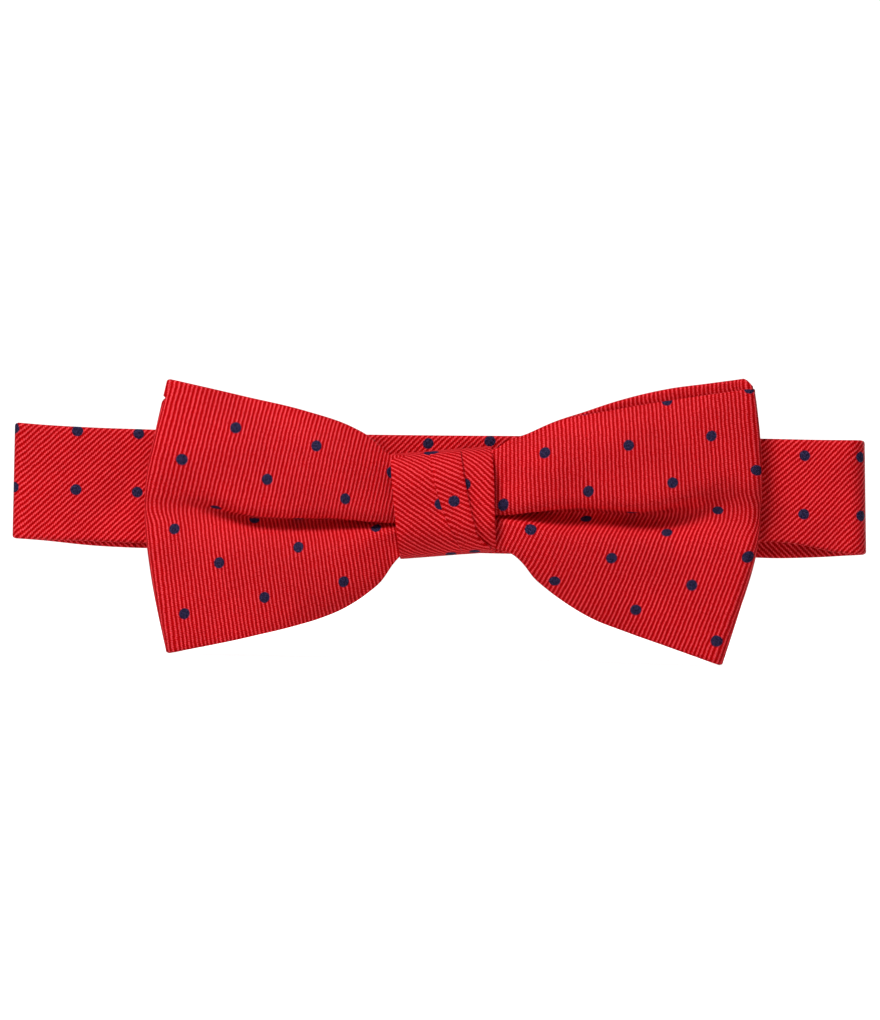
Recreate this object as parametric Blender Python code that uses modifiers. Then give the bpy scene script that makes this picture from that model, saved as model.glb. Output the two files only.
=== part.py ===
"""Pre-tied bow tie on an adjustable neck band, folded flat, in metres.

+X runs along the bow, +Z is up when worn, and the front faces -Y. The origin is the middle of the
neck band's inner face, behind the knot, where the band rests on the collar.
"""

import math

import bmesh
import bpy
import numpy as np
from mathutils import Matrix

MM = 0.001
GAP = 0.3 * MM  # air between two pieces that touch on the real tie

# Neck band: a flattened tube of cloth with a strip of interlining inside.
BAND_WIDTH = 21.7 * MM
BAND_THICK = 1.4 * MM
BAND_WALL = 0.3 * MM
BAND_INTERLINING = 0.3 * MM
SINGLE_CLOTH = 0.8 * MM  # the band where it is turned round a fitting, with no interlining
LEFT_END = -80.6 * MM
RIGHT_END = 78.8 * MM
FRONT_Y = -BAND_THICK / 2
LEFT_STRAP_Y = 2.6 * MM
RIGHT_STRAP_Y = 5.3 * MM

# Fittings, behind the wings, on the straps folded behind the band.
FITTING_Y = 3.3 * MM
HOOK_BAR_X = -46.0 * MM
EYE_BAR_X = -24.0 * MM
SLIDE_X = 46.0 * MM
SLIDE_BAR_Y = 2.6 * MM
DOUBLED_Y = 1.3 * MM
BAR_RADIUS = 0.6 * MM
EYE_WIRE = 0.7 * MM
FRAME_HALF_HEIGHT = 12.4 * MM
TAIL_LENGTH = 12.0 * MM  # the strap's end that goes with the slide, from its bar
BARTACK_FROM_BAR = 7.0 * MM
BARTACK_HALF_HEIGHT = 8.0 * MM
THREAD_THICK = 0.35 * MM

# Care label, on the inner face of the front band.
LABEL_LEFT = -75.0 * MM
LABEL_RIGHT = -55.0 * MM
LABEL_HALF_HEIGHT = 6.5 * MM
LABEL_Y = 0.3 * MM
LABEL_THICK = 0.25 * MM

# Bow: a loop of three layers, with an upright fold at each end and a waist in the middle.
CLOTH = 0.4 * MM
LAYER_STEP = 0.7 * MM
BACK_Y = -1.9 * MM
WAIST_BACK_Y = -3.8 * MM
WAIST_FRONT_Y = -7.8 * MM
EDGE_FRONT_Y = -6.9 * MM
LOBE_DEPTH = 3.2 * MM
FURROW_DEPTH = 1.0 * MM
WAIST_TOP = 6.5 * MM
WAIST_BOTTOM = -9.5 * MM

# Knot: a wrap round the waist.
KNOT_LEFT = -9.7 * MM
KNOT_RIGHT = 9.2 * MM
KNOT_TOP = 8.6 * MM
KNOT_BOTTOM = -11.6 * MM
KNOT_BACK_Y = -1.7 * MM
KNOT_FRONT_Y = -9.9 * MM
WINDING_WIDTH = 5.6 * MM
TACKS = {"upper_left": (-6, 7), "upper_right": (6, 7), "lower_left": (-6, -7), "lower_right": (6, -7)}

# Outlines of each wing as (distance from the middle, height) in millimetres.
WINGS = {
    "left": {
        "side": -1,
        "top": [(0, 6.5), (10.4, 6.7), (12.4, 9.3), (17.1, 12.3), (25.6, 15.1), (36.9, 17.6), (52.2, 20.7)],
        "bottom": [(0, -9.5), (10.4, -9.7), (12.0, -15.6), (16.4, -20.4), (24.7, -24.0), (35.9, -27.0),
                   (51.3, -30.5)],
        "corners": (51.3, 52.2),
        "bulge": 4.3,
        "back_lift": 0.0,
    },
    "right": {
        "side": 1,
        "top": [(0, 6.5), (10.2, 6.7), (12.0, 10.2), (19.3, 14.0), (28.7, 15.8), (36.1, 17.6), (57.0, 21.4)],
        "bottom": [(0, -9.5), (10.6, -9.7), (14.6, -12.6), (18.3, -16.7), (28.5, -22.4), (39.9, -26.9),
                   (52.1, -30.7)],
        "corners": (52.1, 57.0),
        "bulge": 4.2,
        "back_lift": 2.0,
    },
}

CLOTH_RED = (0.62, 0.015, 0.02, 1.0)
LINING_RED = (0.42, 0.01, 0.015, 1.0)
INTERLINING_WHITE = (0.80, 0.78, 0.72, 1.0)
THREAD_RED = (0.55, 0.01, 0.02, 1.0)
THREAD_WHITE = (0.85, 0.84, 0.80, 1.0)
LABEL_WHITE = (0.88, 0.88, 0.86, 1.0)
STEEL = (0.70, 0.70, 0.72, 1.0)


def clear_scene():
    for item in list(bpy.data.objects):
        bpy.data.objects.remove(item, do_unlink=True)


def make_collection(name):
    made = bpy.data.collections.new(name)
    bpy.context.scene.collection.children.link(made)
    return made


def make_material(name, colour, roughness, metallic=0.0):
    made = bpy.data.materials.new(name)
    made.use_nodes = True
    shader = made.node_tree.nodes["Principled BSDF"]
    shader.inputs["Base Color"].default_value = colour
    shader.inputs["Roughness"].default_value = roughness
    shader.inputs["Metallic"].default_value = metallic
    return made


def smooth_through(points, at):
    """A smooth curve through a few (distance, height) points, read at the distances given, all in metres."""
    x, y = np.array(points, float).T * MM
    slope = np.gradient(y, x)
    at = np.clip(at, x[0], x[-1])
    i = np.clip(np.searchsorted(x, at) - 1, 0, len(x) - 2)
    step = x[i + 1] - x[i]
    t = (at - x[i]) / step
    start = (1 + 2 * t) * (1 - t) ** 2 * y[i] + t * (1 - t) ** 2 * step * slope[i]
    end = t * t * (3 - 2 * t) * y[i + 1] - t * t * (1 - t) * step * slope[i + 1]
    return start + end


def ease(t):
    t = np.clip(t, 0, 1)
    return t * t * (3 - 2 * t)


def arc(centre, radius, start, end, count):
    """Points along an arc, with its angles in degrees, both ends included."""
    angles = np.radians(np.linspace(start, end, count))
    return [(centre[0] + radius * math.cos(a), centre[1] + radius * math.sin(a)) for a in angles]


def link(obj, collection, material):
    collection.objects.link(obj)
    if material:
        obj.data.materials.append(material)
    return obj


def flat_plate(name, outlines, depth, place):
    """A flat outline, with any holes in it, as a 2D curve extruded to that depth, made a mesh."""
    data = bpy.data.curves.new(name, "CURVE")
    data.dimensions = "2D"
    data.fill_mode = "BOTH"
    data.extrude = depth / 2
    for outline in outlines:
        spline = data.splines.new("POLY")
        spline.points.add(len(outline) - 1)
        for point, (x, y) in zip(spline.points, outline):
            point.co = (x, y, 0, 1)
        spline.use_cyclic_u = True
    return curve_to_mesh(name, data, place)


def curve_to_mesh(name, data, place):
    """The curve's evaluated shape as a mesh object with its loose caps welded, set in place."""
    guide = bpy.data.objects.new(name + "_curve", data)
    bpy.context.scene.collection.objects.link(guide)
    bpy.context.view_layer.update()
    mesh = bpy.data.meshes.new_from_object(guide.evaluated_get(bpy.context.evaluated_depsgraph_get()))
    bpy.data.objects.remove(guide)
    bm = bmesh.new()
    bm.from_mesh(mesh)
    bmesh.ops.remove_doubles(bm, verts=bm.verts, dist=1e-6)
    bmesh.ops.recalc_face_normals(bm, faces=bm.faces)
    bm.to_mesh(mesh)
    bm.free()
    mesh.name = name
    made = bpy.data.objects.new(name, mesh)
    made.matrix_world = place
    return made


def strip_outline(path, thickness):
    """The outline of a strip that follows a path, with a thickness at each of its points."""
    path = np.array(path, float)
    along = np.gradient(path, axis=0, edge_order=min(2, len(path) - 1))
    along /= np.linalg.norm(along, axis=1, keepdims=True)
    across = np.stack([-along[:, 1], along[:, 0]], axis=1) * np.broadcast_to(thickness, len(path))[:, None] / 2
    return [*(path + across), *(path - across)[::-1]]


def rounded_box(width, height, corner):
    """The outline of a rectangle with round corners, centred on the origin."""
    points = []
    for x, y, start in ((1, 1, 0), (-1, 1, 90), (-1, -1, 180), (1, -1, 270)):
        points += arc((x * (width / 2 - corner), y * (height / 2 - corner)), corner, start, start + 90, 5)
    return points


def shifted(outline, x, y):
    return [(px + x, py + y) for px, py in outline]


LYING = Matrix.Identity(4)  # an outline in plan, extruded along the band's width
STANDING = Matrix(((0, 0, 1, 0), (1, 0, 0, 0), (0, 1, 0, 0), (0, 0, 0, 1)))  # an outline in Y and Z
FACING = Matrix(((1, 0, 0, 0), (0, 0, -1, 0), (0, 1, 0, 0), (0, 0, 0, 1)))  # an outline in X and Z


def strip(name, path, thickness, width, place=LYING):
    return flat_plate(name, [strip_outline(path, thickness)], width, place)


def combine(target, other, operation, helpers):
    """Cuts other from target, or joins it on, and leaves other among the helpers."""
    link(other, helpers, None)
    other.hide_render = True
    other.display_type = "WIRE"
    change = target.modifiers.new(other.name, "BOOLEAN")
    change.operation = operation
    change.solver = "EXACT"
    change.object = other


def block(name, low, high):
    """A box between two corners."""
    mesh = bpy.data.meshes.new(name)
    bm = bmesh.new()
    bmesh.ops.create_cube(bm, size=1)
    size = np.subtract(high, low)
    bmesh.ops.scale(bm, vec=size, verts=bm.verts)
    bmesh.ops.translate(bm, vec=np.add(low, high) / 2, verts=bm.verts)
    bm.to_mesh(mesh)
    bm.free()
    return bpy.data.objects.new(name, mesh)


# ---------------------------------------------------------------- bow


def wing_edge(wing, v):
    """Distance of the wing's outer fold from the middle, from its bottom corner (v=-1) to its top (v=1)."""
    low, high = wing["corners"]
    return ((low + high) / 2 + (high - low) / 2 * v + wing["bulge"] * (1 - v * v)) * MM


def front_depth(s, v):
    """Y of the front, which swells into two lobes either side of the centre pleat."""
    swell = ease((s - 0.19) / 0.2) * ease((1 - s) / 0.75)
    pleat_at = -0.2 + 0.2 * s
    upper = np.clip((v - pleat_at) / (1 - pleat_at), 0, 1)
    lower = np.clip((pleat_at - v) / (1 + pleat_at), 0, 1)
    lobes = np.sin(np.pi * np.maximum(upper, lower))
    furrow = np.exp(-(((v - pleat_at) / 0.12) ** 2))
    flat = WAIST_FRONT_Y + (EDGE_FRONT_Y - WAIST_FRONT_Y) * ease(s)
    return flat - LOBE_DEPTH * swell * lobes + FURROW_DEPTH * swell * furrow


def back_depth(s):
    return WAIST_BACK_Y + (BACK_Y - WAIST_BACK_Y) * ease((s - 0.2) / 0.07)


def wing_stations(wing, rows):
    """The wing's points from the middle of its front, round its fold, to the middle of its back."""
    fold = (BACK_Y - EDGE_FRONT_Y) / 2
    middle = (BACK_Y + EDGE_FRONT_Y) / 2
    reach = wing_edge(wing, rows) - fold
    shares = np.concatenate([[0, 0.08, 0.155, 0.185, 0.215], np.linspace(0.26, 1, 10)])

    def station(s, x, y, back_share):
        low, high = (smooth_through(wing[k], s * c * MM) for k, c in zip(("bottom", "top"), wing["corners"]))
        high += wing["back_lift"] * MM * back_share * ease((s - 0.4) / 0.45)
        return np.stack([wing["side"] * x, y + 0 * rows, low + (rows + 1) / 2 * (high - low)], axis=1)

    front = [station(s, s * reach, front_depth(s, rows), 0.0) for s in shares]
    turn = [
        station(1, reach + fold * math.cos(a), middle + fold * math.sin(a), (a + math.pi / 2) / math.pi)
        for a in np.radians([-60, -30, 0, 30, 60])
    ]
    back = [station(s, s * reach, back_depth(s), 1.0) for s in shares[::-1]]
    return front + turn + back


def bow_loop(rows):
    """The bow's outer surface: a closed belt of stations, right wing first, and its outward normals."""
    loop = np.array(wing_stations(WINGS["right"], rows) + wing_stations(WINGS["left"], rows)[::-1][1:-1])
    ahead = np.roll(loop, -1, axis=0) - np.roll(loop, 1, axis=0)
    up = np.gradient(loop, axis=1)
    normal = np.cross(ahead, up)
    return loop, normal / np.linalg.norm(normal, axis=2, keepdims=True)


def bow_layer(name, inset):
    """One layer of the bow's loop, that far inside the outer surface, with a wall of cloth."""
    rows = np.array([-1, -0.8, -0.55, -0.38, -0.27, -0.19, -0.12, -0.05, 0.04, 0.16, 0.35, 0.6, 0.82, 1])
    surface, normal = bow_loop(rows)
    loop = surface - normal * inset
    edge_gap = inset / 2 * np.where(rows == 1, -1, np.where(rows == -1, 1, 0))
    loop[:, :, 2] += edge_gap
    count, across = loop.shape[:2]
    index = np.arange(count * across).reshape(count, across)
    ahead = np.roll(index, -1, axis=0)
    faces = np.stack([index[:, :-1], ahead[:, :-1], ahead[:, 1:], index[:, 1:]], axis=2).reshape(-1, 4)
    mesh = bpy.data.meshes.new(name)
    mesh.from_pydata(loop.reshape(-1, 3).tolist(), [], faces.tolist())
    made = bpy.data.objects.new(name, mesh)
    wall = made.modifiers.new("wall", "SOLIDIFY")
    wall.thickness = CLOTH
    wall.offset = -1
    return made


# ---------------------------------------------------------------- knot


def knot_ring(name, inset, slit):
    """A strip wrapped round the waist, that far inside the knot's outer face. Its ends meet at the back."""
    half = inset + CLOTH / 2
    low, high = KNOT_BOTTOM + half, KNOT_TOP - half
    back, front = KNOT_BACK_Y - half, KNOT_FRONT_Y + half
    round_off = 0.8 * MM
    middle = (low + high) / 2
    path = [(back, middle + slit / 2)]
    path += arc((back - round_off, high - round_off), round_off, 0, 90, 4)
    path += arc((front + round_off, high - round_off), round_off, 90, 180, 4)
    path += arc((front + round_off, low + round_off), round_off, 180, 270, 4)
    path += arc((back - round_off, low + round_off), round_off, 270, 360, 4)
    path += [(back, middle - slit / 2)]
    place = Matrix.Translation(((KNOT_LEFT + KNOT_RIGHT) / 2, 0, 0)) @ STANDING
    return strip(name, path, CLOTH, KNOT_RIGHT - KNOT_LEFT - 2 * inset, place)


def waist_thread():
    """The winding of thread that holds the pleated waist, under the knot."""
    inset = CLOTH / 2 + GAP
    height = (WAIST_TOP - WAIST_BOTTOM) + 2 * inset
    depth = (WAIST_BACK_Y - WAIST_FRONT_Y) + 2 * inset
    middle = ((WAIST_BACK_Y + WAIST_FRONT_Y) / 2, (WAIST_TOP + WAIST_BOTTOM) / 2)
    outer = shifted(rounded_box(depth + CLOTH, height + CLOTH, 0.5 * MM), *middle)
    inner = shifted(rounded_box(depth - CLOTH, height - CLOTH, 0.1 * MM), *middle)
    return flat_plate("waist_thread", [outer, inner], WINDING_WIDTH, STANDING)


def knot_tacks():
    """Thread bars on the band's inner face, where the knot's back is sewn to the band."""
    size = np.array((3.2 * MM, THREAD_THICK, 0.5 * MM))
    for corner, (x, z) in TACKS.items():
        low = np.array((x * MM, GAP, z * MM)) - size * (0.5, 0, 0.5)
        yield block("knot_tack_" + corner, low, low + size)


# ---------------------------------------------------------------- neck band


def fold(end, strap_y, side):
    """Centre of a band fold in plan, its radius, and the hinge point that lets its arc unroll flat."""
    radius = (strap_y - FRONT_Y) / 2
    centre = (end - side * (radius + BAND_THICK / 2), (strap_y + FRONT_Y) / 2)
    return centre, radius, (centre[0] + side * math.pi * radius / 2, centre[1])


def quarter(centre, radius, side, from_front):
    """The half of a fold that belongs to the front band, or to the strap, up to the gap at its tip."""
    tip = math.degrees(GAP / 2 / radius)
    start, end = (-90, -tip) if from_front else (tip, 90)
    points = arc((0, 0), radius, start, end, 8)
    return [(centre[0] + side * x, centre[1] + y) for x, y in points]


LEFT_FOLD, LEFT_RADIUS, LEFT_HINGE = fold(LEFT_END, LEFT_STRAP_Y, -1)
RIGHT_FOLD, RIGHT_RADIUS, RIGHT_HINGE = fold(RIGHT_END, RIGHT_STRAP_Y, 1)


def stretched_ends(path, by, both=True):
    """The path with its first end, or both ends, run on a little, so that a cutter comes out of the piece."""
    path = np.array(path, float)
    head = path[0] + (path[0] - path[1]) / np.linalg.norm(path[0] - path[1]) * by
    tail = path[-1] + (path[-1] - path[-2]) / np.linalg.norm(path[-1] - path[-2]) * by
    return [head, *path, tail] if both else [head, *path]


def band_tube(name, path, thickness, hollow, both, helpers):
    """A length of the neck band: a strip of cloth hollowed out along one stretch for its interlining."""
    made = strip(name, path, thickness, BAND_WIDTH)
    inside = strip(name + "_inside", stretched_ends(hollow, 0.5 * MM, both), BAND_THICK - 2 * BAND_WALL,
                   BAND_WIDTH - 4 * BAND_WALL)
    combine(made, inside, "DIFFERENCE", helpers)
    return made


def interlining(name, path):
    return strip(name, path, BAND_INTERLINING, BAND_WIDTH - 6 * BAND_WALL)


def front_band_path():
    left = quarter(LEFT_FOLD, LEFT_RADIUS, -1, True)[::-1]
    right = quarter(RIGHT_FOLD, RIGHT_RADIUS, 1, True)
    return left + right


def left_strap_paths():
    """(whole path, thickness at each point, hollow stretch) of the strap that ends at the hook."""
    hollow_end = HOOK_BAR_X - 12 * MM
    hollow = quarter(LEFT_FOLD, LEFT_RADIUS, -1, False) + [(hollow_end, LEFT_STRAP_Y)]
    loop = BAR_RADIUS + GAP + SINGLE_CLOTH / 2
    leg_y = LEFT_STRAP_Y + BAND_THICK / 2 + GAP + SINGLE_CLOTH / 2
    taper = [(HOOK_BAR_X - 3.2 * MM, LEFT_STRAP_Y), (HOOK_BAR_X - 1.6 * MM, LEFT_STRAP_Y - 0.4 * MM)]
    turn = arc((HOOK_BAR_X, FITTING_Y), loop, -90, 80, 9)
    leg = [(HOOK_BAR_X - 2.4 * MM, leg_y + 0.25 * MM), (HOOK_BAR_X - 4 * MM, leg_y),
           (HOOK_BAR_X - 11 * MM, leg_y)]
    path = hollow + [(HOOK_BAR_X - 5 * MM, LEFT_STRAP_Y)] + taper + turn + leg
    single = len(taper) + len(turn) + len(leg)
    thickness = [BAND_THICK] * (len(path) - single) + [SINGLE_CLOTH] * single
    return path, thickness, hollow


def right_strap_paths():
    """(whole path, thickness at each point, hollow stretch) of the strap that runs through the slide."""
    loop = (RIGHT_STRAP_Y - DOUBLED_Y) / 2
    hollow = quarter(RIGHT_FOLD, RIGHT_RADIUS, 1, False) + [(EYE_BAR_X + 4 * MM, RIGHT_STRAP_Y)]
    turn = arc((EYE_BAR_X, FITTING_Y), loop, 90, 270, 11)
    tail = [(EYE_BAR_X + 3 * MM, DOUBLED_Y)]
    path = hollow + [(EYE_BAR_X + 3 * MM, RIGHT_STRAP_Y)] + [(EYE_BAR_X + 1.5 * MM, RIGHT_STRAP_Y)] + turn + tail
    single = 1 + len(turn) + len(tail)
    thickness = [BAND_THICK] * (len(path) - single) + [SINGLE_CLOTH] * single
    return path, thickness, hollow


def doubled_strap():
    """The stretch that comes back from the eye to the slide, inside the loop. It shortens as the slide moves."""
    path = [(EYE_BAR_X + 3 * MM + GAP, DOUBLED_Y), (SLIDE_X - TAIL_LENGTH - GAP, DOUBLED_Y)]
    return strip("doubled_strap", path, SINGLE_CLOTH, BAND_WIDTH)


def adjuster_tail():
    """The strap's end, turned round the slide's middle bar and sewn down."""
    loop = BAR_RADIUS + GAP + SINGLE_CLOTH / 2
    leg_y = DOUBLED_Y + SINGLE_CLOTH + GAP
    path = [(SLIDE_X - TAIL_LENGTH, DOUBLED_Y), (SLIDE_X - 2 * MM, DOUBLED_Y)]
    path += arc((SLIDE_X, SLIDE_BAR_Y), loop, -90, 80, 9)
    path += [(SLIDE_X - 2.2 * MM, leg_y + 0.9 * MM), (SLIDE_X - 4 * MM, leg_y + 0.1 * MM),
             (SLIDE_X - 10 * MM, leg_y)]
    return strip("adjuster_tail", path, SINGLE_CLOTH, BAND_WIDTH)


# ---------------------------------------------------------------- fittings


def rod(name, x, y, radius, half_length):
    """A round bar along Z."""
    mesh = bpy.data.meshes.new(name)
    bm = bmesh.new()
    bmesh.ops.create_cone(bm, cap_ends=True, segments=16, radius1=radius, radius2=radius,
                          depth=2 * half_length)
    bmesh.ops.translate(bm, vec=(x, y, 0), verts=bm.verts)
    bm.to_mesh(mesh)
    bm.free()
    return bpy.data.objects.new(name, mesh)


def band_hook(helpers):
    """A flat frame that the strap's end is looped through, with a tongue that curls over to catch the eye."""
    plate = 0.8 * MM
    bar = 1.2 * MM
    length = 7.6 * MM
    height = 2 * FRAME_HALF_HEIGHT
    centre = length / 2 - bar / 2
    outer = shifted(rounded_box(length, height, 1.2 * MM), centre, 0)
    window = shifted(rounded_box(length - 2 * bar, height - 1.8 * MM, 0.5 * MM), centre, 0)
    made = flat_plate("band_hook", [outer, window], plate,
                      Matrix.Translation((HOOK_BAR_X, FITTING_Y, 0)) @ FACING)
    tip = HOOK_BAR_X + 11 * MM
    curl = 1.3 * MM
    path = [(HOOK_BAR_X + length - bar, FITTING_Y)]
    path += arc((tip, FITTING_Y + curl), curl, -90, 90, 9)
    path += [(tip - 2.4 * MM, FITTING_Y + 2 * curl - 0.2 * MM), (tip - 3.2 * MM, FITTING_Y + 2 * curl + 0.1 * MM)]
    tongue = strip("hook_tongue", path, plate * 0.9, 7.4 * MM)
    combine(made, tongue, "UNION", helpers)
    return made


def band_eye():
    """A wire loop in the strap's end, that the hook catches."""
    data = bpy.data.curves.new("band_eye", "CURVE")
    data.dimensions = "3D"
    data.bevel_depth = EYE_WIRE
    data.bevel_resolution = 2
    length = 8.6 * MM
    outline = rounded_box(length, 2 * FRAME_HALF_HEIGHT - EYE_WIRE, 1.3 * MM)
    spline = data.splines.new("POLY")
    spline.points.add(len(outline) - 1)
    for point, (x, z) in zip(spline.points, outline):
        point.co = (x - length / 2, 0, z, 1)
    spline.use_cyclic_u = True
    made = curve_to_mesh("band_eye", data, Matrix.Translation((EYE_BAR_X, FITTING_Y, 0)))
    made.data.shade_smooth()
    return made


def slide_adjuster(helpers):
    """A frame over the strap, with a middle bar carried below the strap by two cheeks."""
    thick = 1.0 * MM
    length = 12.0 * MM
    side = 1.0 * MM
    frame_y = RIGHT_STRAP_Y + BAND_THICK / 2 + GAP + thick / 2
    height = 2 * (FRAME_HALF_HEIGHT - 0.1 * MM)
    outer = rounded_box(length, height, 1.6 * MM)
    window = rounded_box(length - 3.6 * MM, height - 2 * side, 0.6 * MM)
    made = flat_plate("slide_adjuster", [outer, window], thick,
                      Matrix.Translation((SLIDE_X, frame_y, 0)) @ FACING)
    for end in (-1, 1):
        z = sorted((end * (height / 2 - side), end * height / 2))
        cheek = block("cheek_upper" if end > 0 else "cheek_lower",
                      (SLIDE_X - 1.3 * MM, SLIDE_BAR_Y - 0.9 * MM, z[0]), (SLIDE_X + 1.3 * MM, frame_y, z[1]))
        combine(made, cheek, "UNION", helpers)
    combine(made, rod("middle_bar", SLIDE_X, SLIDE_BAR_Y, BAR_RADIUS, height / 2 - side / 2), "UNION", helpers)
    return made


# ---------------------------------------------------------------- small sewn pieces


def bartack(name, x, y):
    """A dense bar of stitches across the strap."""
    half_width = 0.5 * MM
    return block(name, (x - half_width, y, -BARTACK_HALF_HEIGHT),
                 (x + half_width, y + THREAD_THICK, BARTACK_HALF_HEIGHT))


def care_label():
    return block("care_label", (LABEL_LEFT, LABEL_Y, -LABEL_HALF_HEIGHT),
                 (LABEL_RIGHT, LABEL_Y + LABEL_THICK, LABEL_HALF_HEIGHT))


def label_stitches():
    """A line of stitches down each end of the label."""
    y = LABEL_Y + LABEL_THICK + GAP
    from_end = 1.2 * MM
    half_width = 0.2 * MM
    half_height = LABEL_HALF_HEIGHT - 1.0 * MM
    for end, x in (("left", LABEL_LEFT + from_end), ("right", LABEL_RIGHT - from_end)):
        yield block("label_stitches_" + end, (x - half_width, y, -half_height),
                    (x + half_width, y + half_width, half_height))


# ---------------------------------------------------------------- joints


def pivot(name, x, y, collection, parent=None):
    """An empty on a joint's upright axis."""
    made = bpy.data.objects.new(name, None)
    collection.objects.link(made)
    made.location = (x, y, 0)
    bpy.context.view_layer.update()
    if parent:
        hang(parent, made)
    return made


def hang(parent, *pieces):
    """Parents the pieces to a pivot and leaves them where they are."""
    for piece in pieces:
        piece.parent = parent
        piece.matrix_parent_inverse = parent.matrix_world.inverted()
    bpy.context.view_layer.update()


def main():
    clear_scene()
    tie = make_collection("bow_tie")
    helpers = make_collection("cutters")
    red = make_material("dotted_twill", CLOTH_RED, 0.55)
    lining = make_material("bow_inner_cloth", LINING_RED, 0.6)
    stiffener = make_material("interlining", INTERLINING_WHITE, 0.9)
    thread = make_material("red_thread", THREAD_RED, 0.6)
    white_thread = make_material("white_thread", THREAD_WHITE, 0.6)
    label = make_material("label_tape", LABEL_WHITE, 0.5)
    steel = make_material("plated_steel", STEEL, 0.25, 1.0)

    link(bow_layer("bow_outer_cloth", 0.0), tie, red)
    link(bow_layer("bow_interlining", LAYER_STEP), tie, stiffener)
    link(bow_layer("bow_inner_cloth", 2 * LAYER_STEP), tie, lining)
    link(waist_thread(), tie, thread)
    link(knot_ring("knot_wrap", 0.0, 0.4 * MM), tie, red)
    link(knot_ring("knot_interlining", CLOTH + GAP, 1.0 * MM), tie, stiffener)
    for tack in knot_tacks():
        link(tack, tie, thread)

    front = front_band_path()
    link(band_tube("front_band", front, BAND_THICK, front, True, helpers), tie, red)
    link(interlining("front_band_interlining", front), tie, stiffener)
    link(care_label(), tie, label)
    for line in label_stitches():
        link(line, tie, white_thread)

    path, thickness, hollow = left_strap_paths()
    inner_end = (hollow[-1][0] - GAP, hollow[-1][1])
    leg_back = LEFT_STRAP_Y + BAND_THICK / 2 + GAP + SINGLE_CLOTH
    left_swing = pivot("left_strap_swing", *LEFT_HINGE, tie)
    hang(left_swing,
         link(band_tube("left_strap", path, thickness, hollow, False, helpers), tie, red),
         link(interlining("left_strap_interlining", hollow[:-1] + [inner_end]), tie, stiffener),
         link(bartack("hook_bartack", HOOK_BAR_X - BARTACK_FROM_BAR, leg_back + GAP), tie, thread))
    hang(pivot("hook_tilt", HOOK_BAR_X, FITTING_Y, tie, left_swing), link(band_hook(helpers), tie, steel))

    path, thickness, hollow = right_strap_paths()
    inner_end = (hollow[-1][0] + GAP, hollow[-1][1])
    tail_back = DOUBLED_Y + 1.5 * SINGLE_CLOTH + GAP
    right_swing = pivot("right_strap_swing", *RIGHT_HINGE, tie)
    hang(right_swing,
         link(band_tube("right_strap", path, thickness, hollow, False, helpers), tie, red),
         link(interlining("right_strap_interlining", hollow[:-1] + [inner_end]), tie, stiffener),
         link(doubled_strap(), tie, red))
    hang(pivot("eye_tilt", EYE_BAR_X, FITTING_Y, tie, right_swing), link(band_eye(), tie, steel))
    hang(pivot("adjuster_slide", SLIDE_X, SLIDE_BAR_Y, tie, right_swing),
         link(slide_adjuster(helpers), tie, steel),
         link(adjuster_tail(), tie, red),
         link(bartack("adjuster_bartack", SLIDE_X - BARTACK_FROM_BAR, tail_back + GAP), tie, thread))


main()
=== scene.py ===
# %% [markdown]
# # A dotted bow tie, ready tied
#
# A ready-tied bow tie is a few strips of cloth, folded and sewn. The bow is one flat tube of cloth, laid in
# a loop and pinched at its waist. A second strip is wrapped round the waist as the knot. Both sit on a neck
# band, which is folded flat behind the bow, and which has a hook, an eye and a slide.
#
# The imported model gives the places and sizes. This lesson gives each piece its cloth: a surface for the
# shape and a material for the weave. The first cell loads the model and notes the size of its box.

import bmesh
import bpy
import numpy as np
from mathutils import Matrix, Vector


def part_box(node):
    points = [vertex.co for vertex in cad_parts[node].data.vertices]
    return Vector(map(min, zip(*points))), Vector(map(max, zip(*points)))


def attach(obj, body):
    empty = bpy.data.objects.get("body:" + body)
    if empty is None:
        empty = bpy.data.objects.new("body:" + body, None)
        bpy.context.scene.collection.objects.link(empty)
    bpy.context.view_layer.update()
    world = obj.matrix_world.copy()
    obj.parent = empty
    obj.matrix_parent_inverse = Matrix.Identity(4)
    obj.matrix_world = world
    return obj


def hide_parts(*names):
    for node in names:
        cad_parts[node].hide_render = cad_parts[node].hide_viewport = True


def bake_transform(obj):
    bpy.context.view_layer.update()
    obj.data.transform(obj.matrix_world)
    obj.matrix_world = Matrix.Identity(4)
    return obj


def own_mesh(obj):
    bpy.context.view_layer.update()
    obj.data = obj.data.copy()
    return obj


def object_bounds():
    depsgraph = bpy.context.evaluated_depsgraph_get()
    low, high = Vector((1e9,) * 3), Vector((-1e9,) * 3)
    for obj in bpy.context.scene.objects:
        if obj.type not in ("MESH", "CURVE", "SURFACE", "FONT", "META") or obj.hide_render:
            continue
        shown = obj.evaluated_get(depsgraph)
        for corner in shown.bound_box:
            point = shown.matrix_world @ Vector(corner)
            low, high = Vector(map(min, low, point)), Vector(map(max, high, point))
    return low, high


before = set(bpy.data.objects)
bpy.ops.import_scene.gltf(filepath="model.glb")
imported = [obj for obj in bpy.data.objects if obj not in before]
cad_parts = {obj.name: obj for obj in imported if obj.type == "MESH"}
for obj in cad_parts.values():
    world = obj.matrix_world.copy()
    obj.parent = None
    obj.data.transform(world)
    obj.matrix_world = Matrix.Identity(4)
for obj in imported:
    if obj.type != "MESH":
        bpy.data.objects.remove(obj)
cad_low, cad_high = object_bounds()
MM = 0.001
print("box in mm", np.round((np.array(cad_high) - np.array(cad_low)) / MM, 1))

# %% [markdown]
# ## The camera
#
# The tie is seen square on, from its front. A long lens keeps the wings from swelling towards the middle.
# The camera stands a little left of the knot and below it, and is rolled a little, so that the tie leans
# down to the right.

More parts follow.
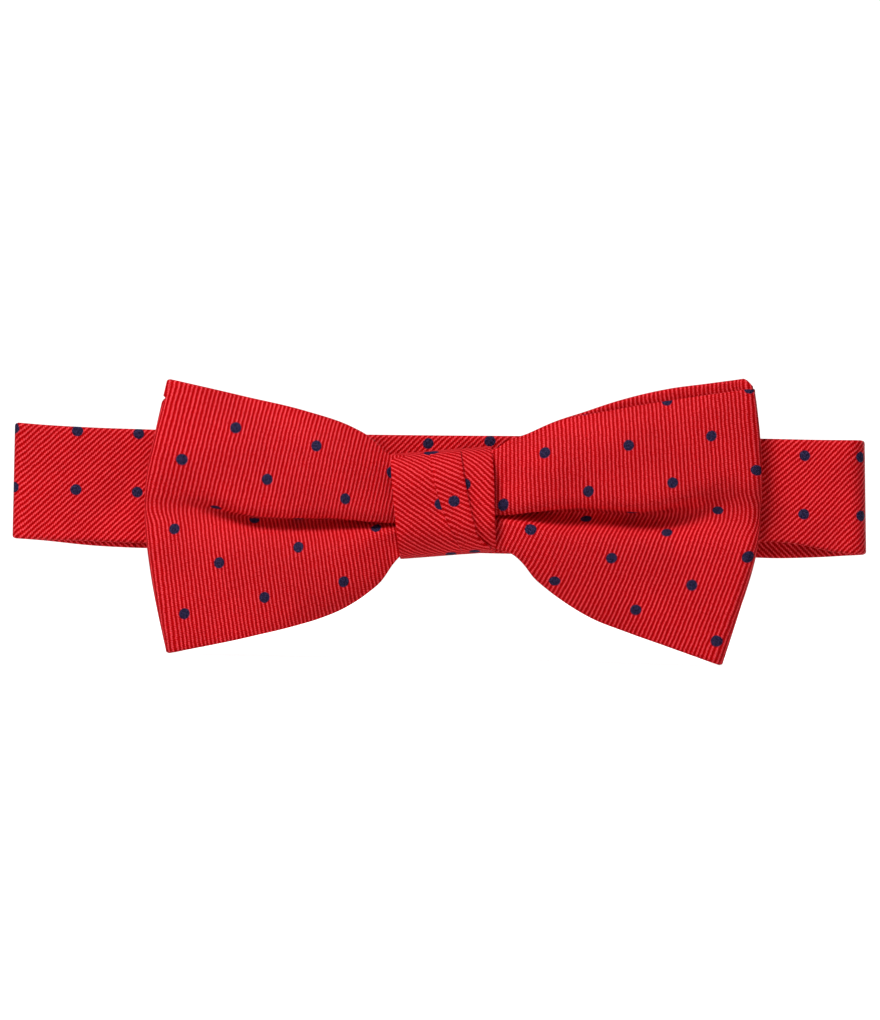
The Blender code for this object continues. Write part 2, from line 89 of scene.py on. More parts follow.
# %% Camera
LENS = 250.0
ROLL = np.radians(1.25)
VIEW_HEIGHT = 190.7 * MM
VIEW_CENTRE = Vector((-0.88, 0, -2.7)) * MM
FRONT_Y = -3.5 * MM

camera_data = bpy.data.cameras.new("camera")
camera_data.lens = LENS
camera_data.sensor_width = 36.0
camera = bpy.data.objects.new("camera", camera_data)
bpy.context.scene.collection.objects.link(camera)
distance = VIEW_HEIGHT * LENS / camera_data.sensor_width
camera.matrix_world = (
    Matrix.Translation(VIEW_CENTRE + Vector((0, FRONT_Y - distance, 0)))
    @ Matrix.Rotation(-ROLL, 4, "Y")
    @ Matrix.Rotation(np.pi / 2, 4, "X")
)
camera_data.clip_start = 0.01
bpy.context.scene.camera = camera
print("camera stands", round(distance / MM), "mm from the bow")

# %% [markdown]
# ## Node trees
#
# Every material below is a tree of nodes. These few functions add a node, do sums on sockets, ease one value
# into a range, mix two colours, and start a material, so that a material reads as a list of steps.

# %% Helpers for node trees


def add_node(tree, kind, inputs=(), **settings):
    """A node of that kind. Inputs are values, or sockets to link from, in the order of the node's inputs."""
    node = tree.nodes.new("ShaderNode" + kind)
    for key, value in settings.items():
        setattr(node, key, value)
    for place, value in enumerate(inputs):
        if isinstance(value, bpy.types.NodeSocket):
            tree.links.new(value, node.inputs[place])
        elif value is not None:
            node.inputs[place].default_value = value
    return node


def maths(tree, operation, *values):
    """One sum on values or sockets."""
    return add_node(tree, "Math", values, operation=operation).outputs[0]


def smooth_range(tree, value, low, high, start=0.0, end=1.0):
    """The value eased from start to end as it goes from low to high."""
    inputs = (value, low, high, start, end)
    return add_node(tree, "MapRange", inputs, interpolation_type="SMOOTHSTEP").outputs[0]


def mixed(tree, share, first, second, blend_type="MIX"):
    """Two colours mixed: the first where the share is 0 and the second where it is 1."""
    node = add_node(tree, "Mix", data_type="RGBA", blend_type=blend_type)
    for socket, value in zip((node.inputs[0], node.inputs[6], node.inputs[7]), (share, first, second)):
        if isinstance(value, bpy.types.NodeSocket):
            tree.links.new(value, socket)
        else:
            socket.default_value = value
    return node.outputs[2]


def new_material(name, roughness, metallic=0.0, sheen=0.0, specular=0.5):
    """A material with those values on its shader, with its node tree and the shader itself."""
    material = bpy.data.materials.new(name)
    material.use_nodes = True
    shader = material.node_tree.nodes["Principled BSDF"]
    shader.inputs["Roughness"].default_value = roughness
    shader.inputs["Metallic"].default_value = metallic
    shader.inputs["Sheen Weight"].default_value = sheen
    shader.inputs["Specular IOR Level"].default_value = specular
    return material, material.node_tree, shader


print("node helpers are ready")

# %% [markdown]
# ## Floor and light
#
# The tie stands on the lowest points of its wings, on a plain white floor. A large soft lamp above and in
# front, on the left, models the folds. The sky gives the camera pure white, and the cloth a softer fill.
# The floor glows a little, for the camera only, and less near the tie, so that a faint shadow stays there.

# %% Floor and light
FLOOR_HALF = 3.0
NEAR_GLOW = 0.86
FAR_GLOW = 1.0
GLOW_FROM, GLOW_TO = 0.1, 0.6
FLOOR_GAP = 0.2 * MM
SKY_SEEN = 1.15
SKY_FILL = 0.09


def stage_floor(height):
    """A square floor at that height: the corners of the grid x, y = -half, +half."""
    x, y = np.meshgrid([-FLOOR_HALF, FLOOR_HALF], [-FLOOR_HALF, FLOOR_HALF])
    points = np.stack([x, y, np.full_like(x, height)], axis=-1).reshape(-1, 3)
    mesh = bpy.data.meshes.new("floor")
    mesh.from_pydata(points.tolist(), [], [[0, 1, 3, 2]])
    floor = bpy.data.objects.new("floor", mesh)
    bpy.context.scene.collection.objects.link(floor)
    white, tree, shader = new_material("floor_white", roughness=1.0, specular=0.0)
    shader.inputs["Base Color"].default_value = (0.9, 0.9, 0.9, 1)
    shader.inputs["Emission Color"].default_value = (1, 1, 1, 1)
    place = add_node(tree, "TexCoord").outputs["Object"]
    away = add_node(tree, "VectorMath", (place,), operation="LENGTH").outputs["Value"]
    glow = smooth_range(tree, away, GLOW_FROM, GLOW_TO, NEAR_GLOW, FAR_GLOW)
    seen = add_node(tree, "LightPath").outputs["Is Camera Ray"]
    tree.links.new(maths(tree, "MULTIPLY", glow, seen), shader.inputs["Emission Strength"])
    mesh.materials.append(white)
    return floor


def soft_lamp(name, place, size, power):
    """A square lamp at that place, turned to face the bow."""
    data = bpy.data.lights.new(name, "AREA")
    data.size = size
    data.energy = power
    lamp = bpy.data.objects.new(name, data)
    lamp.visible_camera = False
    lamp.location = place
    lamp.rotation_euler = (-Vector(place)).to_track_quat("-Z", "Y").to_euler()
    bpy.context.scene.collection.objects.link(lamp)
    return lamp


stage_floor(cad_low[2] - FLOOR_GAP)
soft_lamp("key", (-0.30, -0.55, 0.78), 0.32, 8.4)
soft_lamp("front_fill", (0.5, -0.9, 0.5), 0.6, 0.6)
soft_lamp("rear_fill", (0.45, 0.9, 0.15), 0.6, 5.0)

sky = bpy.data.worlds.new("sky")
bpy.context.scene.world = sky
sky.use_nodes = True
links, nodes = sky.node_tree.links, sky.node_tree.nodes
nodes["Background"].inputs["Color"].default_value = (1, 1, 1, 1)
seen = nodes.new("ShaderNodeLightPath")
strength = nodes.new("ShaderNodeMapRange")
strength.inputs["To Min"].default_value = SKY_FILL
strength.inputs["To Max"].default_value = SKY_SEEN
links.new(seen.outputs["Is Camera Ray"], strength.inputs["Value"])
links.new(strength.outputs["Result"], nodes["Background"].inputs["Strength"])
bpy.context.scene.view_settings.view_transform = "Standard"

# %% [markdown]
# ## The cloth: a corded twill with woven dots
#
# The cloth has fine round ribs, each a row of slanted threads, and small navy dots woven in, which stand a
# little proud. One material makes it all. It reads the UV map `cloth`, whose numbers are millimetres on the
# flat cloth: the first runs across the ribs and the second along them. So each piece below only has to say
# where on the cloth it was cut, and the weave follows its folds.
#
# The dots lie on a square lattice that is turned by 45 degrees to the ribs.

# %% Measures of the cloth
#  all in mm: from rib to rib, from thread to thread along a rib, from dot to dot, and a dot's radius
RIB = 0.775
THREAD = 0.42
DOT_STEP = 11.4
DOT_RADIUS = 1.05
print("ribs to the centimetre:", round(10 / RIB, 1))

# %% [markdown]
# Ribs this fine could be modelled, but one wing would then need a million faces. So the weave is a height
# worked out in the material. It drives the bump, and a colour ramp as well, which paints shade into the
# grooves between the ribs and a highlight onto their crests. The dots are a coarser satin, domed, in dark
# navy with a lighter painted sheen on their threads.

# %% The dotted twill
# the groove colour is painted shade and the crest colour a painted highlight, on the red of the rib sides
RIB_GROOVE_SHADE = (0.42, 0.0, 0.0004, 1)
RIB_SIDE = (0.66, 0.001, 0.005, 1)
RIB_CREST_HIGHLIGHT = (1.00, 0.070, 0.090, 1)
NAVY_DARK = (0.012, 0.008, 0.030, 1)
# the lighter navy is a painted sheen on the satin threads of the dots
NAVY_SHEEN = (0.065, 0.055, 0.150, 1)
SATIN = 0.36


def dotted_twill():
    """Ribs are a sine of the distance across them, and threads are slanted waves along them. A dot is where a
    point is less than the dot's radius from the middle of its cell of the lattice."""
    material, tree, shader = new_material("dotted_twill", roughness=0.55, specular=0.04)
    cloth = add_node(tree, "UVMap", uv_map="cloth").outputs[0]
    across, along, _ = add_node(tree, "SeparateXYZ", (cloth,)).outputs

    wander = add_node(tree, "TexNoise", (cloth, None, 0.35, 2.0), noise_dimensions="2D").outputs[0]
    wobble = maths(tree, "MULTIPLY", maths(tree, "SUBTRACT", wander, 0.5), 0.22)
    rib_turn = maths(tree, "MULTIPLY", maths(tree, "ADD", across, wobble), 2 * np.pi / RIB)
    rib = maths(tree, "MULTIPLY_ADD", maths(tree, "SINE", rib_turn), 0.5, 0.5)

    slant = maths(tree, "MULTIPLY", across, 0.55)
    thread_turn = maths(tree, "MULTIPLY", maths(tree, "ADD", along, slant), 2 * np.pi / THREAD)
    thread = maths(tree, "MULTIPLY_ADD", maths(tree, "SINE", thread_turn), 0.5, 0.5)
    fibre = add_node(tree, "TexNoise", (cloth, None, 3.2, 3.0, 0.6), noise_dimensions="2D").outputs[0]

    lattice = add_node(
        tree, "Mapping", (cloth, (0.5, 0.5, 0), (0, 0, np.pi / 4), (1 / DOT_STEP,) * 3)
    ).outputs[0]
    cell = add_node(tree, "VectorMath", (lattice,), operation="FRACTION").outputs[0]
    flat_cell = add_node(tree, "VectorMath", (cell, (1, 1, 0)), operation="MULTIPLY").outputs[0]
    offset = add_node(tree, "VectorMath", (flat_cell, (0.5, 0.5, 0)), operation="DISTANCE").outputs[1]
    ragged = maths(tree, "MULTIPLY_ADD", fibre, 0.22, -0.11)
    from_dot = maths(tree, "MULTIPLY_ADD", offset, DOT_STEP, ragged)
    dot = smooth_range(tree, from_dot, DOT_RADIUS + 0.10, DOT_RADIUS - 0.10)
    dome = smooth_range(tree, from_dot, DOT_RADIUS + 0.25, DOT_RADIUS - 0.75)

    height = maths(tree, "MULTIPLY_ADD", thread, 0.30, maths(tree, "MULTIPLY", rib, 0.8))
    height = maths(tree, "MULTIPLY_ADD", fibre, 1.1, height)
    # the ramp paints shade into the low parts of the weave and a highlight onto its high parts
    red = add_node(tree, "ValToRGB", (maths(tree, "MULTIPLY", height, 0.6),))
    ramp = red.color_ramp
    ramp.elements[0].position, ramp.elements[0].color = 0.40, RIB_GROOVE_SHADE
    ramp.elements[1].position, ramp.elements[1].color = 0.90, RIB_CREST_HIGHLIGHT
    middle = ramp.elements.new(0.68)
    middle.color = RIB_SIDE
    dye = add_node(tree, "TexNoise", (cloth, None, 0.06, 2.0), noise_dimensions="2D").outputs[0]
    tone = smooth_range(tree, dye, 0.3, 0.7, 0.93, 1.05)
    tone_grey = add_node(tree, "CombineColor", (tone, tone, tone)).outputs[0]
    red_cloth = mixed(tree, 1.0, red.outputs[0], tone_grey, "MULTIPLY")

    satin_turn = maths(tree, "MULTIPLY", maths(tree, "SUBTRACT", along, across), 2 * np.pi / SATIN)
    satin = maths(tree, "MULTIPLY_ADD", maths(tree, "SINE", satin_turn), 0.5, 0.5)
    # painted sheen: lighter navy where the satin wave and the fibre noise are high
    satin_sheen = maths(tree, "MULTIPLY", satin, smooth_range(tree, fibre, 0.35, 0.65))
    navy = mixed(tree, satin_sheen, NAVY_DARK, NAVY_SHEEN)
    tree.links.new(mixed(tree, dot, red_cloth, navy), shader.inputs["Base Color"])

    raised = maths(tree, "MULTIPLY_ADD", dome, 1.1, maths(tree, "MULTIPLY", height, 0.8))
    dot_height = maths(tree, "MULTIPLY_ADD", satin, 0.25, raised)
    relief = add_node(tree, "Mix", (dot, None, height, dot_height)).outputs[0]
    bump = add_node(tree, "Bump", (0.75, 0.00012))
    tree.links.new(relief, bump.inputs["Height"])
    tree.links.new(bump.outputs[0], shader.inputs["Normal"])
    return material


TWILL = dotted_twill()
print("twill of", len(TWILL.node_tree.nodes), "nodes")

# %% [markdown]
# ## Plain finishes
#
# The hidden pieces are brushed interlining and sewing thread. The label is a blank satin tape, and the
# fittings are steel with a bright nickel plate, which shows faint scratches from handling.

# %% Interlining, thread, label tape and nickel plate


def woven(name, colour, shade, pitch, roughness, depth):
    """A plain weave: the product of two waves, one along each axis of the object, on a fibre noise."""
    material, tree, shader = new_material(name, roughness, sheen=0.1, specular=0.2)
    place = add_node(tree, "TexCoord").outputs["Object"]
    x, _, z = add_node(tree, "SeparateXYZ", (place,)).outputs
    turn = 2 * np.pi / pitch
    warp = maths(tree, "SINE", maths(tree, "MULTIPLY", x, turn))
    weft = maths(tree, "SINE", maths(tree, "MULTIPLY", z, turn))
    weave = maths(tree, "MULTIPLY_ADD", maths(tree, "MULTIPLY", warp, weft), 0.5, 0.5)
    fuzz = add_node(tree, "TexNoise", (place, None, 2500.0, 4.0, 0.6)).outputs[0]
    height = maths(tree, "ADD", weave, fuzz)
    share = smooth_range(tree, height, 0.4, 1.4)
    tree.links.new(mixed(tree, share, shade, colour), shader.inputs["Base Color"])
    bump = add_node(tree, "Bump", (0.6, depth))
    tree.links.new(height, bump.inputs["Height"])
    tree.links.new(bump.outputs[0], shader.inputs["Normal"])
    return material


def twisted_thread(name, colour, shade):
    """Sewing thread: a wave on a slant to the thread, which is the twist of its plies."""
    material, tree, shader = new_material(name, 0.45, sheen=0.1)
    place = add_node(tree, "TexCoord").outputs["Object"]
    x, y, z = add_node(tree, "SeparateXYZ", (place,)).outputs
    slanted = maths(tree, "ADD", maths(tree, "ADD", x, z), y)
    twist = maths(tree, "SINE", maths(tree, "MULTIPLY", slanted, 2 * np.pi / (0.22 * MM)))
    share = maths(tree, "MULTIPLY_ADD", twist, 0.5, 0.5)
    tree.links.new(mixed(tree, share, shade, colour), shader.inputs["Base Color"])
    bump = add_node(tree, "Bump", (0.5, 0.03 * MM))
    tree.links.new(share, bump.inputs["Height"])
    tree.links.new(bump.outputs[0], shader.inputs["Normal"])
    return material


def nickel_plate():
    """Bright plate: fine brushed scratches from a stretched noise, and duller where fingers rub."""
    material, tree, shader = new_material("plated_steel", 0.25, metallic=1.0)
    place = add_node(tree, "TexCoord").outputs["Object"]
    stretched = add_node(tree, "Mapping", (place, None, (0, 0, 0.3), (9000, 9000, 700))).outputs[0]
    scratch = add_node(tree, "TexNoise", (stretched, None, 1.0, 3.0, 0.6)).outputs[0]
    rubbed = add_node(tree, "TexNoise", (place, None, 260.0, 3.0)).outputs[0]
    tint = smooth_range(tree, rubbed, 0.35, 0.7)
    tree.links.new(
        mixed(tree, tint, (0.60, 0.60, 0.62, 1), (0.76, 0.76, 0.77, 1)), shader.inputs["Base Color"]
    )
    tree.links.new(smooth_range(tree, scratch, 0.3, 0.75, 0.16, 0.36), shader.inputs["Roughness"])
    bump = add_node(tree, "Bump", (0.15, 0.01 * MM))
    tree.links.new(scratch, bump.inputs["Height"])
    tree.links.new(bump.outputs[0], shader.inputs["Normal"])
    return material


INTERLINING = woven("interlining", (0.82, 0.80, 0.74, 1), (0.62, 0.60, 0.53, 1), 0.5 * MM, 0.9, 0.06 * MM)
LABEL_TAPE = woven("label_tape", (0.90, 0.90, 0.88, 1), (0.76, 0.76, 0.74, 1), 0.24 * MM, 0.45, 0.02 * MM)
RED_THREAD = twisted_thread("red_thread", (0.75, 0.03, 0.05, 1), (0.38, 0.004, 0.012, 1))
WHITE_THREAD = twisted_thread("white_thread", (0.88, 0.87, 0.84, 1), (0.60, 0.59, 0.55, 1))
NICKEL = nickel_plate()
print("materials:", sorted(m.name for m in bpy.data.materials if m.users))

# %% [markdown]
# ## How a piece of cloth is made
#
# Every cloth piece starts as a middle surface, a grid of points that follows the fold. The cloth is then
# given its two faces, by going half a thickness along the normal each way. Towards an edge the half
# thickness falls like a quarter circle, so that the two faces meet in a soft round edge. Blender's Solidify
# would give square rims, and the rolled edge of a sewn strip is what catches the light.

# %% Curves and eases


def ease(t):
    """3 t^2 - 2 t^3 between 0 and 1."""
    t = np.clip(t, 0, 1)
    return t * t * (3 - 2 * t)


def smooth_through(points, at):
    """A cubic Hermite curve through (place, value) points: each slope is that of its neighbours."""
    x, y = np.array(points, float).T
    slope = np.gradient(y, x)
    at = np.clip(at, x[0], x[-1])
    i = np.clip(np.searchsorted(x, at) - 1, 0, len(x) - 2)
    step = x[i + 1] - x[i]
    t = (at - x[i]) / step
    start = (1 + 2 * t) * (1 - t) ** 2 * y[i] + t * (1 - t) ** 2 * step * slope[i]
    end = t * t * (3 - 2 * t) * y[i + 1] - t * t * (1 - t) * step * slope[i + 1]
    return start + end


def spline_weights(count, at):
    """Weights of the control points of a clamped cubic B-spline, by the Cox-de Boor recurrence. The weight of
    point i at degree d is its weight at d - 1 times its share of the way up from knot i to knot i + d, plus
    the next point's weight times the share of the way left to knot i + d + 1."""
    knots = np.concatenate([np.zeros(3), np.linspace(0, 1, count - 2), np.ones(3)])
    at = np.clip(at, 0, 1 - 1e-9)[:, None]
    weight = ((knots[:-1] <= at) & (at < knots[1:])).astype(float)
    for degree in (1, 2, 3):
        rise = knots[degree:-1] - knots[: -degree - 1]
        fall = knots[degree + 1 :] - knots[1:-degree]
        blank = np.zeros_like(weight[:, :-1])
        up = np.divide(at - knots[: -degree - 1], rise, out=blank.copy(), where=rise > 0)
        down = np.divide(knots[degree + 1 :] - at, fall, out=blank.copy(), where=fall > 0)
        weight = up * weight[:, :-1] + down * weight[:, 1:]
    return weight


def arc_length(points, axis):
    """Running length along that axis of a grid, from its start."""
    step = np.linalg.norm(np.diff(points, axis=axis), axis=-1)
    first = np.zeros_like(np.take(step, [0], axis=axis))
    return np.concatenate([first, np.cumsum(step, axis=axis)], axis=axis)


print("weights of a spline sum to", spline_weights(6, np.array([0.3])).sum().round(6))

# %% [markdown]
# The next functions turn a grid into a closed piece: its quads, its two faces, and the caps at open ends.
# The UV map is given corner by corner, so that a ring can start and end at different places on the cloth.

# %% From a middle surface to a cloth piece


def normals_of(grid, looped):
    """Unit normals: along the rows crossed with across them. A looped grid's last row meets its first."""
    if looped:
        along = np.roll(grid, -1, axis=0) - np.roll(grid, 1, axis=0)
    else:
        along = np.gradient(grid, axis=0)
    normal = np.cross(along, np.gradient(grid, axis=1))
    return normal / np.maximum(np.linalg.norm(normal, axis=-1, keepdims=True), 1e-12)


def quad_faces(rows, columns, looped):
    """Quads of a grid of rows and columns, and the (row, column) of each of their corners, unwrapped."""
    last = rows if looped else rows - 1
    i, j = np.meshgrid(np.arange(last), np.arange(columns - 1), indexing="ij")
    i, j = i.ravel(), j.ravel()
    corner_i = np.stack([i, i + 1, i + 1, i], axis=1)
    corner_j = np.stack([j, j, j + 1, j + 1], axis=1)
    return (corner_i % rows) * columns + corner_j, corner_i, corner_j


def finish_mesh(name, points, faces, cloth, material):
    """A mesh object with a UV map of cloth millimetres, welded, with its faces pointing out."""
    mesh = bpy.data.meshes.new(name)
    mesh.from_pydata(points.tolist(), [], faces.tolist())
    uv = mesh.uv_layers.new(name="cloth")
    uv.data.foreach_set("uv", np.ascontiguousarray(cloth, np.float32).ravel())
    bm = bmesh.new()
    bm.from_mesh(mesh)
    bmesh.ops.remove_doubles(bm, verts=bm.verts, dist=2e-7)
    bmesh.ops.dissolve_degenerate(bm, edges=bm.edges, dist=1e-7)
    bmesh.ops.recalc_face_normals(bm, faces=bm.faces)
    bm.to_mesh(mesh)
    bm.free()
    mesh.shade_smooth()
    mesh.materials.append(material)
    piece = bpy.data.objects.new(name, mesh)
    bpy.context.scene.collection.objects.link(piece)
    return piece


OTHER_LAYER = np.array([3.1, 5.3])


def cloth_piece(name, grid, cloth, half_thick, rounding, material, looped=False):
    """Both faces of a middle surface, at grid + h normal and at grid - h normal. At a distance d from a side
    edge, h = half_thick sqrt(1 - (1 - d / rounding)^2). The ends of a grid that isn't looped are closed by
    flat caps. cloth is (rows, columns, 2) in mm, with one more row when looped. The far face is another layer
    of the cloth, so its pattern is shifted."""
    rows, columns = grid.shape[:2]
    run = arc_length(grid, 1)
    from_edge = np.minimum(run, run[:, -1:] - run)
    rim = np.clip(1 - from_edge / rounding, 0, 1)
    offset = (half_thick * np.sqrt(1 - rim**2))[..., None] * normals_of(grid, looped)
    faces, i, j = quad_faces(rows, columns, looped)
    points = np.concatenate([(grid + offset).reshape(-1, 3), (grid - offset).reshape(-1, 3)])
    all_faces = [faces, faces[:, ::-1] + rows * columns]
    all_cloth = [cloth[i, j], cloth[i, j][:, ::-1] + OTHER_LAYER]
    if not looped:
        k = np.arange(columns - 1)
        for row in (0, rows - 1):
            near, far = row * columns + k, (rows + row) * columns + k
            here, ahead = cloth[row, k], cloth[row, k + 1]
            all_faces.append(np.stack([near, near + 1, far + 1, far], axis=1))
            all_cloth.append(np.stack([here, ahead, ahead, here], axis=1))
    return finish_mesh(name, points, np.concatenate(all_faces), np.concatenate(all_cloth), material)


def edge_samples(count, crowd=0.35):
    """Parameters from 0 to 1 that crowd towards both ends: t - crowd sin(2 pi t) / (2 pi)."""
    t = np.linspace(0, 1, count)
    return t - crowd * np.sin(2 * np.pi * t) / (2 * np.pi)


print("a grid of 3 by 4 points has", len(quad_faces(3, 4, False)[0]), "quads")

# %% [markdown]
# ## The bow
#
# The bow is one flat tube of cloth, laid in a loop: across the front, round a soft fold at the end of each
# wing, and back behind. The waist is pinched, which throws a pleat along the middle of each wing: the upper
# lobe rolls over the lower one beside the knot, and the pleat opens out towards the fold.
#
# A wing is a surface of two parameters. The first, s, goes from the waist to the fold. At each s the
# section is a spline with sixteen control points, whose heights and depths are functions of s. Moving a
# handful of control points is how a pleat can fold under itself, which a height map can't do.

# %% Outlines of the wings
#  top, bottom, furrow and back_top are (distance from the waist, height); edge is (height, distance), in mm
WINGS = {
    "left": {
        "side": -1,
        "top": [(0, 7.2), (8.0, 7.4), (10.7, 7.8), (11.8, 8.9), (14.3, 10.85), (17.1, 12.3), (25.6, 15.1),
                (36.9, 17.65), (52.2, 20.75)],
        "bottom": [(0, -10.0), (7.4, -11.4), (8.9, -13.1), (10.9, -16.1), (13.3, -18.3), (17.7, -21.3),
                   (22.1, -23.3), (26.6, -24.8), (35.5, -27.2), (51.3, -30.65)],
        "edge": [(-30.5, 51.3), (-16.7, 54.5), (-3.5, 56.1), (3.2, 55.8), (10.9, 54.3), (20.75, 52.2)],
        "furrow": [(0, -4.5), (9.2, -4.55), (21.4, -4.45), (28.9, -4.6), (36.4, -4.35), (42.6, -3.6),
                   (56, -3.4)],
        "back_top": [(0, 6.8), (10.4, 7.0), (12.4, 9.0), (17.1, 12.0), (25.6, 14.9), (36.9, 17.4),
                     (52.2, 20.75)],
    },
    "right": {
        "side": 1,
        "top": [(0, 7.6), (8.4, 8.8), (9.3, 9.2), (11.0, 10.4), (14.5, 11.7), (19.3, 13.9), (24.5, 15.4),
                (28.7, 16.2), (36.1, 17.8), (43.2, 19.1), (57.0, 21.4)],
        "bottom": [(0, -9.2), (9.5, -9.9), (11.4, -10.5), (13.5, -12.3), (15.5, -14.8), (18.1, -17.0),
                   (22.7, -20.2), (27.2, -22.6), (31.8, -24.3), (40.8, -27.2), (52.1, -30.7)],
        "edge": [(-30.7, 52.2), (-19.6, 55.6), (-11.5, 58.0), (-6.3, 58.9), (1.0, 59.4), (12.1, 59.0),
                 (21.4, 57.7)],
        "furrow": [(0, -2.6), (9.5, -2.65), (17.8, -2.0), (25.8, -1.6), (32.8, -2.0), (44, -2.4), (58, -3.0)],
        "back_top": [(0, 7.6), (9.3, 9.1), (14.5, 11.85), (19.3, 14.2), (24.9, 16.2), (30.5, 18.2),
                     (36.0, 19.8), (41.6, 21.05), (47.2, 21.9), (55.5, 23.2)],
    },
}
REACH = 56.0
HALF_STRIP = 0.5 * MM
BACK_MIDDLE_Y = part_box("bow_outer_cloth")[1][1] - HALF_STRIP
EDGE_MIDDLE_Y = BACK_MIDDLE_Y - 4.0 * MM
WAIST_MIDDLE_Y = -6.0 * MM
WAIST_BACK_Y = -3.6 * MM
FOLD_RADIUS = (BACK_MIDDLE_Y - EDGE_MIDDLE_Y) / 2
print("wing folds turn on a radius of", round(FOLD_RADIUS / MM, 2), "mm")

# %% [markdown]
# The section's control points run from the top edge of the strip to its bottom edge. The outer ones are
# placed by their share of the height between the furrow and an edge, with a lift towards the viewer. The
# inner ones make the pleat. They are placed in millimetres from the furrow's line, and have a sink away from
# the viewer. Near the waist they cross over, so that the upper lobe hangs over the pleat. Towards the fold
# they move apart and rise, and the pleat opens into a shallow valley.

# %% The front of a wing
LOBE = 3.3
SECTION_POINTS = 16

#  share of the height between the furrow and the edge, share of the lobe's lift
UPPER_LOBE = np.array([(1.00, -0.10), (0.97, 0.16), (0.84, 0.72), (0.60, 1.08), (0.34, 1.05)])
LOWER_LOBE = np.array([(-0.34, 1.05), (-0.58, 0.95), (-0.84, 0.62), (-0.97, 0.14), (-1.00, -0.08)])
#  at the waist, half way and at the fold: mm above the furrow's line, and mm towards the viewer
PLEATS = {
    "left": np.array([
        [(1.8, 3.2), (3.2, 2.4), (6.0, 0.3)], [(-1.1, 2.4), (-0.1, 2.2), (2.6, -0.3)],
        [(0.7, -3.0), (0.5, -2.4), (1.0, -1.2)], [(0.1, -4.0), (-0.9, -2.5), (-1.2, -1.1)],
        [(-1.2, -0.8), (-2.3, -0.9), (-3.4, -0.6)], [(-2.5, 2.0), (-4.1, 1.5), (-6.5, 0.0)],
    ]),
    "right": np.array([
        [(1.8, 3.2), (3.4, 3.1), (7.5, 0.6)], [(-1.1, 2.4), (-0.1, 2.9), (4.8, -0.2)],
        [(0.7, -3.0), (0.5, -3.0), (2.8, -1.6)], [(0.1, -4.0), (-1.4, -3.2), (-1.0, -1.7)],
        [(-1.2, -0.8), (-3.0, -1.5), (-3.4, -0.5)], [(-2.5, 2.0), (-4.8, 1.8), (-5.4, 0.8)],
    ]),
}
ACROSS = edge_samples(84)
WEIGHTS = spline_weights(SECTION_POINTS, ACROSS)


def wing_front(name, s):
    """Middle surface of a wing's front at stations s: spline weights times control points.

    The distance from the waist is s times the reach of the fold at that height. Heights and depths are those
    of the tables, and the lobes swell from the waist and die away towards the fold."""
    wing = WINGS[name]
    inset = (FOLD_RADIUS + HALF_STRIP) / MM
    out = s[:, None]
    top = smooth_through(wing["top"], out * (wing["top"][-1][0] - inset))
    bottom = smooth_through(wing["bottom"], out * (wing["bottom"][-1][0] - inset))
    distance = out * (REACH - inset)
    furrow = smooth_through(wing["furrow"], distance)
    swell = LOBE * ease((distance - 6.0) / 14.0) * ease((62.0 - distance) / 42.0)
    upper = furrow + UPPER_LOBE[:, 0] * (top - furrow)
    lower = furrow - LOWER_LOBE[:, 0] * (bottom - furrow)
    half_way, far = ease((distance - 10) / 14)[..., None], ease((distance - 33) / 19)[..., None]
    waist, middle, fold = np.moveaxis(PLEATS[name], 1, 0)[:, None]
    pleat = waist * (1 - half_way) + (middle * (1 - far) + fold * far) * half_way
    pinch = np.where(pleat[..., 1] > 0, ease((distance - 5.0) / 11.0), ease((distance + 6.0) / 16.0))
    pleat_rise = pleat[..., 1] * pinch
    height = np.concatenate([upper, furrow + pleat[..., 0], lower], axis=1)
    lift = np.concatenate([UPPER_LOBE[:, 1] * swell, pleat_rise, LOWER_LOBE[:, 1] * swell], axis=1)
    flat = WAIST_MIDDLE_Y + (EDGE_MIDDLE_Y - WAIST_MIDDLE_Y) * ease(out)
    edge = smooth_through(wing["edge"], height) * MM - FOLD_RADIUS - HALF_STRIP
    control = np.stack([wing["side"] * out * edge, flat - lift * MM, height * MM], axis=-1)
    return np.einsum("tc,scx->stx", WEIGHTS, control)


def wing_back(name, s, share):
    """The strip behind the wing, flat but for a shallow furrow: height runs straight between its edges."""
    wing = WINGS[name]
    inset = (FOLD_RADIUS + HALF_STRIP) / MM
    out = s[:, None]
    top = smooth_through(wing["back_top"], out * (wing["back_top"][-1][0] - inset))
    bottom = smooth_through(wing["bottom"], out * (wing["bottom"][-1][0] - inset)) + 0.6 * (1 - out**4)
    height = bottom + (share[None, :] + 1) / 2 * (top - bottom)
    edge = smooth_through(wing["edge"], height) * MM - FOLD_RADIUS - HALF_STRIP
    edge = edge - (wing["top"][-1][0] - wing["back_top"][-1][0]) * MM * ease((share + 0.2) / 1.2)[None, :]
    flat = WAIST_BACK_Y + (BACK_MIDDLE_Y - WAIST_BACK_Y) * ease((out - 0.17) / 0.12)
    crease = np.exp(-(((share + 0.1) / 0.1) ** 2))[None, :] * ease((0.9 - out) / 0.5)
    lean = 2.7 * MM * ease((share - 0.35) / 0.65)[None, :] * ease((out - 0.1) / 0.2)
    return np.stack([wing["side"] * out * edge, flat - 0.5 * MM * crease - lean, height * MM], axis=-1)


fronts = {name: wing_front(name, np.linspace(0, 1, 72)) for name in WINGS}
print("lobes reach", round(min(f[..., 1].min() for f in fronts.values()) / MM, 1), "mm forward")

# %% [markdown]
# The fold joins front and back by a half turn. Each point of the section turns about its own upright line,
# and slides from its place on the front to its place on the back as it goes.

# %% The whole loop
STATIONS = np.linspace(0, 1, 72)
BACK_STATIONS = np.linspace(1, 0, 40)
TURN = np.radians(np.linspace(-90, 90, 15)[1:-1])


def end_slope(table):
    """How steeply an outline rises between its last two points."""
    return (table[-1][1] - table[-2][1]) / (table[-1][0] - table[-2][0])


